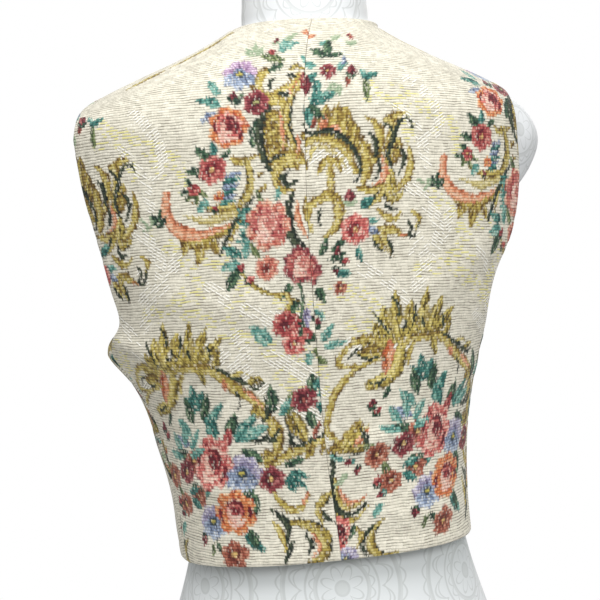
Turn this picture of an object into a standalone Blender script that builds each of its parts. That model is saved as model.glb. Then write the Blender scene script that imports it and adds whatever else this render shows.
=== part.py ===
"""A cropped lace-up waistcoat of woven tapestry, worn by a limbless dress form.

Lengths are metres and +Z is up. The form stands on the plane z = 0, with the middle of its base
near the origin. The wearer's front looks towards -Y, so the back of the waistcoat faces +Y and the
wearer's left is +X.

The waistcoat is four cloth walls: two backs, which meet in a seam down the centre of the back, and
two fronts, which meet the backs at the side seams and shoulder seams and are laced together down
the front through brass eyelets. Each wall follows rings round the body. The rings come from the
table WAISTCOAT_RINGS, and from the shoulder blades up a quarter turn rolls each wall over to the
shoulder seam or the neckline.
"""

import math

import bmesh
import bpy
import numpy as np

# The cloth and its seams
WALL = 0.0022
SEAM_GAP = 0.0003
SHOULDER_CLEARANCE = 0.0006
HEM_HEIGHT = 0.200
HEM_TILT = -0.045
TILT_ENDS = 0.350
UNDERARM_HEIGHT = 0.362
SIDE_SEAM_DEPTH = 0.036
BLADE_HEIGHT = 0.530
NECK_HEIGHT = 0.6220

# The neckline and the shoulder seams. The shifts are where the waistcoat lies towards the
# wearer's left of the form's axis.
NECK_HALF_WIDTH = 0.0600
NECK_SHIFT = 0.0004
NAPE_DEPTH = 0.0655
SHOULDER_HALF_WIDTH = 0.1675
SHOULDER_SHIFT = 0.0085
SHOULDER_SEAM_DEPTH = 0.0
NECKLINE_SQUARENESS = 0.88
NECK_CLEARANCE = 0.0016
NAPE_ROLL = math.radians(52)
SHOULDER_ROLL = math.radians(90)

# Divisions of the walls
SIDE_ROWS = 10
ARMHOLE_ROWS = 10
ROLL_ROWS = 7
NECK_COLUMNS = 4
SHOULDER_COLUMNS = 10

# The distance over which a slope is measured
STEP = 0.001

# The dress form, with a gentle bust whose width and spread are those of its two rises
FORM_HEIGHT = 0.688
FORM_FINE_ABOVE = 0.470
FORM_ROWS = 44
FORM_SIDES = 48
BUST_HEIGHT = 0.378
BUST_SPACING = 0.078
BUST_RISE = 0.018
BUST_WIDTH = 0.048
BUST_SPREAD = 0.058
BUST_FADE = 0.4

# The lacing: pairs of eyelets, and the lace that crosses between them
EYELET_PAIRS = 6
LOWEST_EYELET = 0.2200
EYELET_PITCH = 0.0355
EYELET_INSET = 0.0105
EYELET_SIDES = 12
BORE_RADIUS = 0.0025
BARREL_RADIUS = 0.0030
FLANGE_RADIUS = 0.0048
FLANGE_HEIGHT = 0.0012
FLANGE_GAP = 0.0004
WASHER_GAP = 0.0007
WASHER_HEIGHT = 0.0007
LACE_RADIUS = 0.0014
LACE_CLEARANCE = 0.0005
LACE_OVER = FLANGE_HEIGHT + LACE_CLEARANCE + LACE_RADIUS
LACE_UNDER = -(WALL + WASHER_GAP + WASHER_HEIGHT + LACE_CLEARANCE + LACE_RADIUS)
LACE_END = -0.0095

# The lace's height over the front's outer face on its way from one eyelet to the next, for the
# strand that passes over at the centre and the strand that passes under. The share is of the way
# between the two eyelets.
CROSSING_COLUMNS = ("share", "over", "under")
CROSSING = (
    (0.015, LACE_OVER, LACE_OVER),
    (0.13, LACE_OVER, LACE_OVER),
    (0.30, 0.0024, 0.0012),
    (0.50, 0.0008, -0.0026),
    (0.72, -0.0042, -0.0045),
    (0.88, LACE_UNDER, LACE_UNDER),
    (0.985, LACE_UNDER, LACE_UNDER),
)
LAST_CROSSING = (
    (0.015, LACE_OVER, LACE_OVER),
    (0.13, LACE_OVER, LACE_OVER),
    (0.30, 0.0024, 0.0012),
    (0.50, 0.0008, -0.0026),
    (0.70, 0.0024, 0.0012),
    (0.87, LACE_OVER, LACE_OVER),
    (0.985, LACE_OVER, LACE_OVER),
)

# Each ring of the waistcoat: half widths of the back and of the front on the wearer's left and
# right, depths behind and before the axis, where each armhole edge lies in depth (below the
# underarm both are the side seam), the sideways place of the centre-back seam, and the sideways
# place of the front's inner edge.
WAISTCOAT_COLUMNS = (
    "z", "back_left", "back_right", "front_left", "front_right", "back", "front",
    "back_edge", "front_edge", "centre_back", "front_start",
)
WAISTCOAT_RINGS = (
    (0.190, 0.1205, 0.1180, 0.1205, 0.1180, 0.1020, 0.1020, 0.036, 0.036, 0.0000, 0.009),
    (0.220, 0.1250, 0.1165, 0.1250, 0.1165, 0.0990, 0.1005, 0.036, 0.036, 0.0020, 0.009),
    (0.245, 0.1275, 0.1160, 0.1275, 0.1160, 0.0980, 0.1015, 0.036, 0.036, 0.0045, 0.009),
    (0.280, 0.1350, 0.1175, 0.1350, 0.1175, 0.0990, 0.1070, 0.036, 0.036, 0.0080, 0.009),
    (0.310, 0.1430, 0.1215, 0.1430, 0.1215, 0.1015, 0.1150, 0.036, 0.036, 0.0100, 0.009),
    (0.338, 0.1560, 0.1270, 0.1560, 0.1270, 0.1045, 0.1240, 0.036, 0.036, 0.0115, 0.009),
    (0.362, 0.1745, 0.1340, 0.1745, 0.1340, 0.1070, 0.1290, 0.036, 0.036, 0.0125, 0.009),
    (0.385, 0.1755, 0.1445, 0.1650, 0.1410, 0.1090, 0.1300, 0.053, -0.030, 0.0135, 0.009),
    (0.415, 0.1840, 0.1545, 0.1560, 0.1450, 0.1105, 0.1250, 0.057, -0.056, 0.0145, 0.010),
    (0.450, 0.1920, 0.1710, 0.1560, 0.1510, 0.1120, 0.1130, 0.057, -0.066, 0.0155, 0.022),
    (0.490, 0.2025, 0.1790, 0.1640, 0.1600, 0.1120, 0.1000, 0.057, -0.063, 0.0155, 0.035),
    (0.530, 0.2080, 0.1780, 0.1820, 0.1730, 0.1110, 0.0930, 0.055, -0.058, 0.0145, 0.045),
)
BACK_ROUNDNESS = 2.4
FRONT_ROUNDNESS = 2.7

# Each ring of the form: its half width, its depths behind and before the axis, and its roundness,
# which is 2 for an ellipse.
FORM_COLUMNS = ("z", "half_width", "back", "front", "roundness")
FORM_RINGS = (
    (0.000, 0.1600, 0.1230, 0.1040, 2.3),
    (0.040, 0.1600, 0.1240, 0.1050, 2.3),
    (0.090, 0.1490, 0.1180, 0.1030, 2.3),
    (0.150, 0.1275, 0.1020, 0.0960, 2.2),
    (0.190, 0.1160, 0.0900, 0.0900, 2.2),
    (0.220, 0.1105, 0.0840, 0.0870, 2.2),
    (0.250, 0.1095, 0.0830, 0.0880, 2.2),
    (0.290, 0.1125, 0.0860, 0.0930, 2.2),
    (0.330, 0.1180, 0.0910, 0.0990, 2.2),
    (0.375, 0.1235, 0.0960, 0.1030, 2.2),
    (0.420, 0.1300, 0.0990, 0.0980, 2.2),
    (0.455, 0.1440, 0.1000, 0.0900, 2.2),
    (0.480, 0.1660, 0.0960, 0.0840, 2.1),
    (0.505, 0.1850, 0.0920, 0.0780, 2.0),
    (0.526, 0.1920, 0.0885, 0.0700, 2.0),
    (0.545, 0.1860, 0.0820, 0.0580, 2.0),
    (0.558, 0.1740, 0.0770, 0.0500, 2.1),
    (0.570, 0.1530, 0.0730, 0.0455, 2.2),
    (0.584, 0.1230, 0.0680, 0.0435, 2.2),
    (0.598, 0.0930, 0.0640, 0.0430, 2.2),
    (0.610, 0.0715, 0.0585, 0.0425, 2.1),
    (0.622, 0.0555, 0.0545, 0.0425, 2.0),
    (0.638, 0.0525, 0.0525, 0.0420, 2.0),
    (0.660, 0.0515, 0.0515, 0.0420, 2.0),
    (0.688, 0.0510, 0.0510, 0.0420, 2.0),
)

# Colour, roughness and metallic value of each material
FINISHES = {
    "tapestry": ((0.72, 0.66, 0.50), 0.85, 0.0),
    "form_cover": ((0.88, 0.88, 0.87), 0.70, 0.0),
    "brass": ((0.56, 0.42, 0.17), 0.35, 1.0),
    "lace_cord": ((0.30, 0.22, 0.08), 0.75, 0.0),
}


class Profile:
    """A table of named columns, read at any height by a smooth curve through its rows."""

    def __init__(self, columns, rows):
        values = np.array(rows, dtype=float)
        self.heights = values[:, 0]
        self.values = {name: values[:, i] for i, name in enumerate(columns)}
        self.slopes = {name: np.gradient(v, self.heights) for name, v in self.values.items()}

    def __call__(self, name, z):
        """The column's value at height z, by a cubic curve between the rows on either side."""
        z = np.clip(z, self.heights[0], self.heights[-1])
        i = np.clip(np.searchsorted(self.heights, z) - 1, 0, len(self.heights) - 2)
        span = self.heights[i + 1] - self.heights[i]
        t = (z - self.heights[i]) / span
        start, end = self.values[name][i], self.values[name][i + 1]
        leave, arrive = self.slopes[name][i] * span, self.slopes[name][i + 1] * span
        return (
            (2 * t**3 - 3 * t**2 + 1) * start
            + (t**3 - 2 * t**2 + t) * leave
            + (3 * t**2 - 2 * t**3) * end
            + (t**3 - t**2) * arrive
        )


waistcoat = Profile(WAISTCOAT_COLUMNS, WAISTCOAT_RINGS)
form = Profile(FORM_COLUMNS, FORM_RINGS)


def remove_scene_objects():
    """Empties the scene."""
    for old in list(bpy.data.objects):
        bpy.data.objects.remove(old, do_unlink=True)


def make_material(name):
    """A Principled material of the named finish."""
    colour, roughness, metallic = FINISHES[name]
    material = bpy.data.materials.new(name)
    material.use_nodes = True
    shader = material.node_tree.nodes["Principled BSDF"]
    shader.inputs["Base Color"].default_value = (*colour, 1.0)
    shader.inputs["Roughness"].default_value = roughness
    shader.inputs["Metallic"].default_value = metallic
    return material


def add_object(name, mesh, finish):
    """Links a mesh into the scene as one smooth-shaded object."""
    mesh.shade_smooth()
    mesh.set_sharp_from_angle(angle=math.radians(40))
    made = bpy.data.objects.new(name, mesh)
    bpy.context.scene.collection.objects.link(made)
    mesh.materials.append(make_material(finish))
    return made


def mesh_from(name, points, faces):
    """A mesh whose faces are turned to point outwards."""
    mesh = bpy.data.meshes.new(name)
    mesh.from_pydata([tuple(p) for p in points], [], faces)
    work = bmesh.new()
    work.from_mesh(mesh)
    bmesh.ops.recalc_face_normals(work, faces=work.faces)
    if work.calc_volume(signed=True) < 0:
        bmesh.ops.reverse_faces(work, faces=work.faces)
    work.to_mesh(mesh)
    work.free()
    return mesh


def unit(vectors):
    """Vectors of length one along the last axis."""
    return vectors / np.linalg.norm(vectors, axis=-1, keepdims=True)


def ridge_height(x):
    """Height of the form's shoulder line at a sideways place."""
    heights = np.linspace(BLADE_HEIGHT, FORM_HEIGHT, 400)
    widths = form("half_width", heights)
    return np.interp(-abs(x), -widths, heights)


def ring_point(side, z, angle, half_width, centre, back, front):
    """A point of a ring. The angle is measured from the centre front, round the side."""
    across = math.sin(angle)
    if angle > math.pi / 2:
        middle, depth, roundness = centre, back, BACK_ROUNDNESS
    else:
        middle, depth, roundness = 0.0, -front, FRONT_ROUNDNESS
    along = max(0.0, 1.0 - across**roundness) ** (1.0 / roundness)
    return np.array((middle + (side * half_width - middle) * across, depth * along, z))


def edge_angle(edge, back, front):
    """The angle from the centre front at which a ring reaches the depth of an edge."""
    depth, roundness = (back, BACK_ROUNDNESS) if edge > 0 else (front, FRONT_ROUNDNESS)
    across = (1.0 - (abs(edge) / depth) ** roundness) ** (1.0 / roundness)
    angle = math.asin(across)
    return math.pi - angle if edge > 0 else angle


def tilted(point):
    """The hem and the rings just above it lie lower on the wearer's left."""
    span = TILT_ENDS - HEM_HEIGHT
    share = min(1.0, max(0.0, (TILT_ENDS - point[2]) / span))
    return point + np.array((0.0, 0.0, HEM_TILT * point[0] * share))


def edge_depth(name, z):
    """The depth of a wall's outer edge, which is the side seam as far up as the underarm."""
    return SIDE_SEAM_DEPTH if z <= UNDERARM_HEIGHT else waistcoat(name, z)


def back_level(side, z):
    """A function giving the point at a share u from the centre-back seam to the edge."""
    half_width = waistcoat("back_left" if side > 0 else "back_right", z)
    centre, back, front = (waistcoat(name, z) for name in ("centre_back", "back", "front"))
    edge = edge_angle(edge_depth("back_edge", z), back, front)

    def at(u):
        angle = math.pi + (edge - math.pi) * u
        return tilted(ring_point(side, z, angle, half_width, centre, back, front))

    return at


def front_level(side, z):
    """A function giving the point at a share u from the front's inner edge to its outer edge."""
    panel = "back" if z <= UNDERARM_HEIGHT else "front"
    half_width = waistcoat(panel + ("_left" if side > 0 else "_right"), z)
    centre, back, front = (waistcoat(name, z) for name in ("centre_back", "back", "front"))
    first = math.asin(waistcoat("front_start", z) / half_width)
    last = edge_angle(edge_depth("front_edge", z), back, front)

    def at(u):
        angle = first + (last - first) * u
        return tilted(ring_point(side, z, angle, half_width, centre, back, front))

    return at


def seam_top(side, share):
    """A point of the shoulder seam, at a share of the way from the neck to the shoulder tip."""
    across = NECK_HALF_WIDTH + (SHOULDER_HALF_WIDTH - NECK_HALF_WIDTH) * share
    shift = NECK_SHIFT + (SHOULDER_SHIFT - NECK_SHIFT) * share
    x = side * across + shift
    over = min(abs(x), across)
    slope = (ridge_height(over + STEP) - ridge_height(over - STEP)) / (2 * STEP)
    lift = (WALL + SHOULDER_CLEARANCE) * math.hypot(1.0, slope) + NECK_CLEARANCE * (1.0 - share) ** 3
    return np.array((x, SHOULDER_SEAM_DEPTH, ridge_height(over) + lift))


def neckline_point(side, share):
    """A point of the back neckline, at a share of the way from the nape to the side of the neck."""
    end = seam_top(side, 0.0)
    nape = np.array((NECK_SHIFT, NAPE_DEPTH, NECK_HEIGHT))
    turn = share * math.pi / 2
    x = nape[0] + (end[0] - nape[0]) * math.sin(turn) ** NECKLINE_SQUARENESS
    y = end[1] + (nape[1] - end[1]) * max(0.0, math.cos(turn)) ** NECKLINE_SQUARENESS
    z = nape[2] + (end[2] - nape[2]) * share**2
    return np.array((x, y, z))


def rolled(start, end, turn, share):
    """A point on the part of a wall that rolls over the shoulder, from start up to end."""
    angle = turn * share
    rise = math.sin(angle) / math.sin(turn)
    stay = (math.cos(angle) - math.cos(turn)) / (1.0 - math.cos(turn))
    return np.array((
        end[0] + (start[0] - end[0]) * stay,
        end[1] + (start[1] - end[1]) * stay,
        start[2] + (end[2] - start[2]) * rise,
    ))


def lower_heights():
    """Heights of a wall's rows from the hem to the shoulder blades, one of them the underarm."""
    below = np.linspace(HEM_HEIGHT, UNDERARM_HEIGHT, SIDE_ROWS + 1)
    above = np.linspace(UNDERARM_HEIGHT, BLADE_HEIGHT, ARMHOLE_ROWS + 1)
    return np.concatenate((below, above[1:]))


def back_surface(side):
    """The back's outer points, as rows from the hem up and columns from the centre-back seam."""
    columns = NECK_COLUMNS + SHOULDER_COLUMNS
    rows = [
        [back_level(side, z)(c / columns) for c in range(columns + 1)]
        for z in lower_heights()
    ]
    blade = rows[-1]
    for r in range(1, ROLL_ROWS + 1):
        row = []
        for c in range(columns + 1):
            outwards = max(0.0, (c - NECK_COLUMNS) / SHOULDER_COLUMNS)
            if c < NECK_COLUMNS:
                end = neckline_point(side, c / NECK_COLUMNS)
            else:
                end = seam_top(side, outwards)
            share = min(1.0, c / NECK_COLUMNS)
            turn = NAPE_ROLL + (SHOULDER_ROLL - NAPE_ROLL) * share
            row.append(rolled(blade[c], end, turn, r / ROLL_ROWS))
        rows.append(row)
    return np.array(rows)


def front_surface(side):
    """The front's outer points, as rows from the hem up and columns from its inner edge."""
    rows = [
        [front_level(side, z)(c / SHOULDER_COLUMNS) for c in range(SHOULDER_COLUMNS + 1)]
        for z in lower_heights()
    ]
    chest = rows[-1]
    for r in range(1, ROLL_ROWS + 1):
        rows.append([
            rolled(chest[c], seam_top(side, c / SHOULDER_COLUMNS), SHOULDER_ROLL, r / ROLL_ROWS)
            for c in range(SHOULDER_COLUMNS + 1)
        ])
    return np.array(rows)


def outward_normals(points, outward):
    """The unit normal at each point of a grid, on the side that the outward sign gives."""
    along = np.gradient(points, axis=0)
    across = np.gradient(points, axis=1)
    return unit(np.cross(across, along)) * outward


def square_to(tangents, direction):
    """Unit normals square to a seam's tangents and to a direction across the seam."""
    return unit(np.cross(tangents, np.array(direction)))


def seam_tangents(points, edge):
    """The direction of a seam at each of its points."""
    return unit(np.gradient(points[edge], axis=0))


def draw_back(points, normals, edge, inner):
    """Moves a seam edge half the seam's gap back from the seam, along the cloth."""
    aside = unit(np.cross(seam_tangents(points, edge), normals[edge]))
    inwards = np.sum(aside * (points[inner] - points[edge]), axis=-1, keepdims=True)
    points[edge] += aside * np.sign(inwards) * SEAM_GAP / 2


def wall_mesh(name, outer, normals):
    """A closed wall: the outer points, the inner points behind them and a rim."""
    inner = outer - normals * WALL
    rows, columns = outer.shape[:2]
    points = np.concatenate((outer.reshape(-1, 3), inner.reshape(-1, 3)))
    behind = rows * columns

    def corner(r, c):
        return r * columns + c

    faces = []
    for r in range(rows - 1):
        for c in range(columns - 1):
            quad = (corner(r, c), corner(r, c + 1), corner(r + 1, c + 1), corner(r + 1, c))
            faces.append(quad)
            faces.append(tuple(behind + i for i in reversed(quad)))
    rim = [corner(0, c) for c in range(columns)]
    rim += [corner(r, columns - 1) for r in range(1, rows)]
    rim += [corner(rows - 1, c) for c in range(columns - 2, -1, -1)]
    rim += [corner(r, 0) for r in range(rows - 2, 0, -1)]
    for a, b in zip(rim, rim[1:] + rim[:1]):
        faces.append((b, a, behind + a, behind + b))
    return mesh_from(name, points, faces)


def make_half(side, word):
    """The back and the front of one side, seamed together, and the front's eyelets."""
    back, front = back_surface(side), front_surface(side)
    back_normals = outward_normals(back, -side)
    front_normals = outward_normals(front, side)
    side_seam = (slice(0, SIDE_ROWS + 1), -1)
    beside_seam = (slice(0, SIDE_ROWS + 1), -2)
    shared = unit(back_normals[side_seam] + front_normals[side_seam])
    back_normals[side_seam] = front_normals[side_seam] = shared
    centre_seam, beside_centre = (slice(None), 0), (slice(None), 1)
    back_normals[centre_seam] = square_to(seam_tangents(back, centre_seam), (1.0, 0.0, 0.0))
    draw_back(back, back_normals, centre_seam, beside_centre)
    parts = ((back, back_normals, NECK_COLUMNS), (front, front_normals, 0))
    for points, normals, first in parts:
        shoulder, beside_shoulder = (-1, slice(first, None)), (-2, slice(first, None))
        normals[shoulder] = square_to(seam_tangents(points, shoulder), (0.0, side, 0.0))
        draw_back(points, normals, side_seam, beside_seam)
        draw_back(points, normals, shoulder, beside_shoulder)
    add_object("back_" + word, wall_mesh("back_" + word, back, back_normals), "tapestry")
    wall = add_object("front_" + word, wall_mesh("front_" + word, front, front_normals), "tapestry")
    pierce(wall, side)
    for pair in range(EYELET_PAIRS):
        make_eyelet(f"eyelet_{word}_{pair + 1}", side, pair)


def chest_point(x, z):
    """The point of the fronts' outer face at a sideways place and a height, across the gap too."""
    side = 1 if x >= 0 else -1
    half_width = waistcoat("back_left" if side > 0 else "back_right", z)
    angle = math.asin(abs(x) / half_width)
    front = waistcoat("front", z)
    return tilted(ring_point(side, z, angle, half_width, 0.0, 0.0, front))


def chest_frame(x, z):
    """The point of the fronts' outer face there, and the unit normal that points outwards."""
    across = chest_point(x + STEP, z) - chest_point(x - STEP, z)
    along = chest_point(x, z + STEP) - chest_point(x, z - STEP)
    return chest_point(x, z), unit(np.cross(across, along))


def eyelet_place(side, pair):
    """The sideways place and the height of an eyelet, counted from the lowest pair."""
    z = LOWEST_EYELET + pair * EYELET_PITCH
    return side * (waistcoat("front_start", z) + EYELET_INSET), z


def turned(points, centre, normal):
    """Points of a profile of radius and height, turned round an eyelet's axis."""
    aside = unit(np.cross((0.0, 0.0, 1.0), normal))
    upwards = np.cross(normal, aside)
    rings = []
    for radius, height in points:
        for i in range(EYELET_SIDES):
            angle = 2 * math.pi * i / EYELET_SIDES
            spoke = aside * math.cos(angle) + upwards * math.sin(angle)
            rings.append(centre + spoke * radius + normal * height)
    return rings


def make_eyelet(name, side, pair):
    """A brass eyelet: a flange on the cloth, a barrel through it and a washer behind it."""
    centre, normal = chest_frame(*eyelet_place(side, pair))
    washer = -(WALL + WASHER_GAP)
    profile = (
        (BORE_RADIUS, FLANGE_HEIGHT * 0.6),
        (BARREL_RADIUS + 0.0002, FLANGE_HEIGHT),
        (FLANGE_RADIUS - 0.0008, FLANGE_HEIGHT * 0.9),
        (FLANGE_RADIUS, FLANGE_GAP),
        (BARREL_RADIUS, FLANGE_GAP),
        (BARREL_RADIUS, washer),
        (FLANGE_RADIUS - 0.0003, washer),
        (BARREL_RADIUS + 0.0006, washer - WASHER_HEIGHT),
        (BORE_RADIUS, washer - WASHER_HEIGHT * 0.5),
    )
    points = turned(profile, centre, normal)
    faces = []
    for r in range(len(profile)):
        here, beyond = r * EYELET_SIDES, (r + 1) % len(profile) * EYELET_SIDES
        for i in range(EYELET_SIDES):
            j = (i + 1) % EYELET_SIDES
            faces.append((here + i, here + j, beyond + j, beyond + i))
    return add_object(name, mesh_from(name, points, faces), "brass")


def pierce(wall, side):
    """Cuts the hole of each eyelet through a front."""
    profile = ((BARREL_RADIUS + SEAM_GAP, WALL * 2), (BARREL_RADIUS + SEAM_GAP, -WALL * 3))
    for pair in range(EYELET_PAIRS):
        points = turned(profile, *chest_frame(*eyelet_place(side, pair)))
        ring = range(EYELET_SIDES)
        faces = [tuple(ring), tuple(EYELET_SIDES + i for i in reversed(ring))]
        for i in ring:
            j = (i + 1) % EYELET_SIDES
            faces.append((i, EYELET_SIDES + i, EYELET_SIDES + j, j))
        name = f"{wall.name}_cutter_{pair}"
        cutter = bpy.data.objects.new(name, mesh_from(name, points, faces))
        bpy.context.scene.collection.objects.link(cutter)
        cutter.hide_render = True
        cutter.display_type = "WIRE"
        cut = wall.modifiers.new(name, "BOOLEAN")
        cut.operation = "DIFFERENCE"
        cut.solver = "EXACT"
        cut.object = cutter


def crossing_points(side, pair, table, strand):
    """The lace's points on its way from one eyelet up to the one beyond the gap."""
    start_x, start_z = eyelet_place(side, pair)
    end_x, end_z = eyelet_place(-side, pair + 1)
    points = []
    for row in table:
        share = row[0]
        x = start_x + (end_x - start_x) * share
        z = start_z + (end_z - start_z) * share
        point, normal = chest_frame(x, z)
        points.append(point + normal * row[CROSSING_COLUMNS.index(strand)])
    return points


def strand_points(side, strand):
    """Half of the lace, from behind the lowest pair up to its end inside the highest pair."""
    points = []
    for pair in range(EYELET_PAIRS - 1):
        centre, normal = chest_frame(*eyelet_place(side, pair))
        points.append(centre - normal * WALL / 2)
        last = pair == EYELET_PAIRS - 2
        points += crossing_points(side, pair, LAST_CROSSING if last else CROSSING, strand)
        side = -side
    centre, normal = chest_frame(*eyelet_place(side, EYELET_PAIRS - 1))
    points.append(centre - normal * WALL / 2)
    points.append(centre + normal * LACE_END)
    return points


def make_lace():
    """The lace: it starts behind the lowest pair and crosses up the gap to the highest pair."""
    behind = []
    for share in (0.98, 0.80, 0.20, 0.02):
        x, z = eyelet_place(1, 0)
        point, normal = chest_frame(x * (2 * share - 1), z)
        behind.append(point + normal * LACE_UNDER)
    points = strand_points(1, "over")[::-1] + behind + strand_points(-1, "under")
    curve = bpy.data.curves.new("lace", "CURVE")
    curve.dimensions = "3D"
    curve.bevel_depth = LACE_RADIUS
    curve.bevel_resolution = 2
    curve.use_fill_caps = True
    spline = curve.splines.new("POLY")
    spline.points.add(len(points) - 1)
    for place, point in zip(spline.points, points):
        place.co = (*point, 1.0)
    made = bpy.data.objects.new("lace", curve)
    bpy.context.scene.collection.objects.link(made)
    curve.materials.append(make_material("lace_cord"))
    return made


def form_point(z, angle):
    """A point of the form's cover at a height and an angle round it."""
    half_width, roundness = form("half_width", z), form("roundness", z)
    across, along = math.cos(angle), math.sin(angle)
    reach = (abs(across) ** roundness + abs(along) ** roundness) ** (-1.0 / roundness)
    x = half_width * across * reach
    y = form("back" if along > 0 else "front", z) * along * reach
    if along < 0:
        aside = (abs(x) - BUST_SPACING) / BUST_WIDTH
        above = (z - BUST_HEIGHT) / BUST_SPREAD
        forwards = min(1.0, -along / BUST_FADE)
        y -= BUST_RISE * math.exp(-(aside**2) - above**2) * forwards
    return x, y, z


def make_dress_form():
    """The smooth torso under the waistcoat, from its flat base to the top of its neck."""
    lower = np.linspace(0.0, FORM_FINE_ABOVE, FORM_ROWS // 2, endpoint=False)
    upper = np.linspace(FORM_FINE_ABOVE, FORM_HEIGHT, FORM_ROWS // 2 + 1)
    heights = np.concatenate((lower, upper))
    points = [
        form_point(z, 2 * math.pi * i / FORM_SIDES) for z in heights for i in range(FORM_SIDES)
    ]
    faces = []
    for r in range(len(heights) - 1):
        for i in range(FORM_SIDES):
            j = (i + 1) % FORM_SIDES
            low, high = r * FORM_SIDES, (r + 1) * FORM_SIDES
            faces.append((low + i, low + j, high + j, high + i))
    last = (len(heights) - 1) * FORM_SIDES
    faces.append(tuple(reversed(range(FORM_SIDES))))
    faces.append(tuple(last + i for i in range(FORM_SIDES)))
    return add_object("dress_form", mesh_from("dress_form", points, faces), "form_cover")


def main():
    """Builds the form and the waistcoat on it."""
    remove_scene_objects()
    make_dress_form()
    make_half(1, "left")
    make_half(-1, "right")
    make_lace()


main()
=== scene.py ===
"""The looks of a lace-up tapestry waistcoat on a limbless dress form.

Lengths are metres and +Z is up, as in the part's own frame. The wearer's front looks towards -Y and
the wearer's left is +X, so the camera stands behind the back, on the +Y side.

Each wall of the waistcoat is a dense shell on the same surface as its solid. The woven design is
painted on the shell's points, in millimetres across and up the cloth, by functions that draw one
leaf, flower or scroll each. The rows of the weave are a bump in the cloth's material.
"""

from __future__ import annotations

import logging
import math
from dataclasses import dataclass, field
from enum import Enum

import bmesh
import bpy
import numpy as np
from mathutils import Matrix, Vector

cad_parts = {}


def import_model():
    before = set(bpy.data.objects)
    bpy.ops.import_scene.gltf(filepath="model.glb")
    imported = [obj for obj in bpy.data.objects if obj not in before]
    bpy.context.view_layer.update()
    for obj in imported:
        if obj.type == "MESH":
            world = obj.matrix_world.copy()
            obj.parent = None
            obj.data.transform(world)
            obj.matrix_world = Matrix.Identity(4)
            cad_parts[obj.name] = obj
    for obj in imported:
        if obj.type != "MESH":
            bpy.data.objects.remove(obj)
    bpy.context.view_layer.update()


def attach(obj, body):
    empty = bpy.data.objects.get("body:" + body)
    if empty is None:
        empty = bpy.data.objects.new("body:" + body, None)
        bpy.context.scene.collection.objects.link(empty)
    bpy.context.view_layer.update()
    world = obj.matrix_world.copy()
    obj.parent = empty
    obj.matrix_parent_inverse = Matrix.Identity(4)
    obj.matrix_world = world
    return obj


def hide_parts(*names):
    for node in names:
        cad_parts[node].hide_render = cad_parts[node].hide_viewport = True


log = logging.getLogger("waistcoat")

Array = np.ndarray
Colour = tuple[float, float, float]
Place = tuple[float, float]
Pair = tuple[float, float]
Piece = bpy.types.Object
Mesh = bpy.types.Mesh
Material = bpy.types.Material
Node = bpy.types.Node
Tree = bpy.types.NodeTree
Socket = bpy.types.NodeSocket
Number = float | Socket

# The cloth's sizes, as in the part
WALL = 0.0022
HEM_HEIGHT = 0.200
HEM_TILT = -0.045
TILT_ENDS = 0.350
UNDERARM_HEIGHT = 0.362
SIDE_SEAM_DEPTH = 0.036
BLADE_HEIGHT = 0.530
NECK_HEIGHT = 0.6220
NECK_HALF_WIDTH = 0.0600
NECK_SHIFT = 0.0004
NAPE_DEPTH = 0.0655
SHOULDER_HALF_WIDTH = 0.1675
SHOULDER_SHIFT = 0.0085
SHOULDER_CLEARANCE = 0.0006
NECKLINE_SQUARENESS = 0.88
NECK_CLEARANCE = 0.0016
NAPE_ROLL = math.radians(52)
SHOULDER_ROLL = math.radians(90)
NECK_SHARE = 4 / 14
SEAM_GAP = 0.0003
STEP = 0.001
BACK_ROUNDNESS = 2.4
FRONT_ROUNDNESS = 2.7

# The dress form's sizes, as in the part
FORM_HEIGHT = 0.688
BUST_HEIGHT = 0.378
BUST_SPACING = 0.078
BUST_RISE = 0.018
BUST_WIDTH = 0.048
BUST_SPREAD = 0.058
BUST_FADE = 0.4

# The lacing's sizes, as in the part
EYELET_PAIRS = 6
LOWEST_EYELET = 0.2200
EYELET_PITCH = 0.0355
EYELET_INSET = 0.0105
BARREL_RADIUS = 0.0030
BORE_RADIUS = 0.0025
FLANGE_RADIUS = 0.0048
LACE_RADIUS = 0.0014
LACE_OVER = 0.0031
LACE_UNDER = -0.0055
LACE_END = -0.0095

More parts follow.
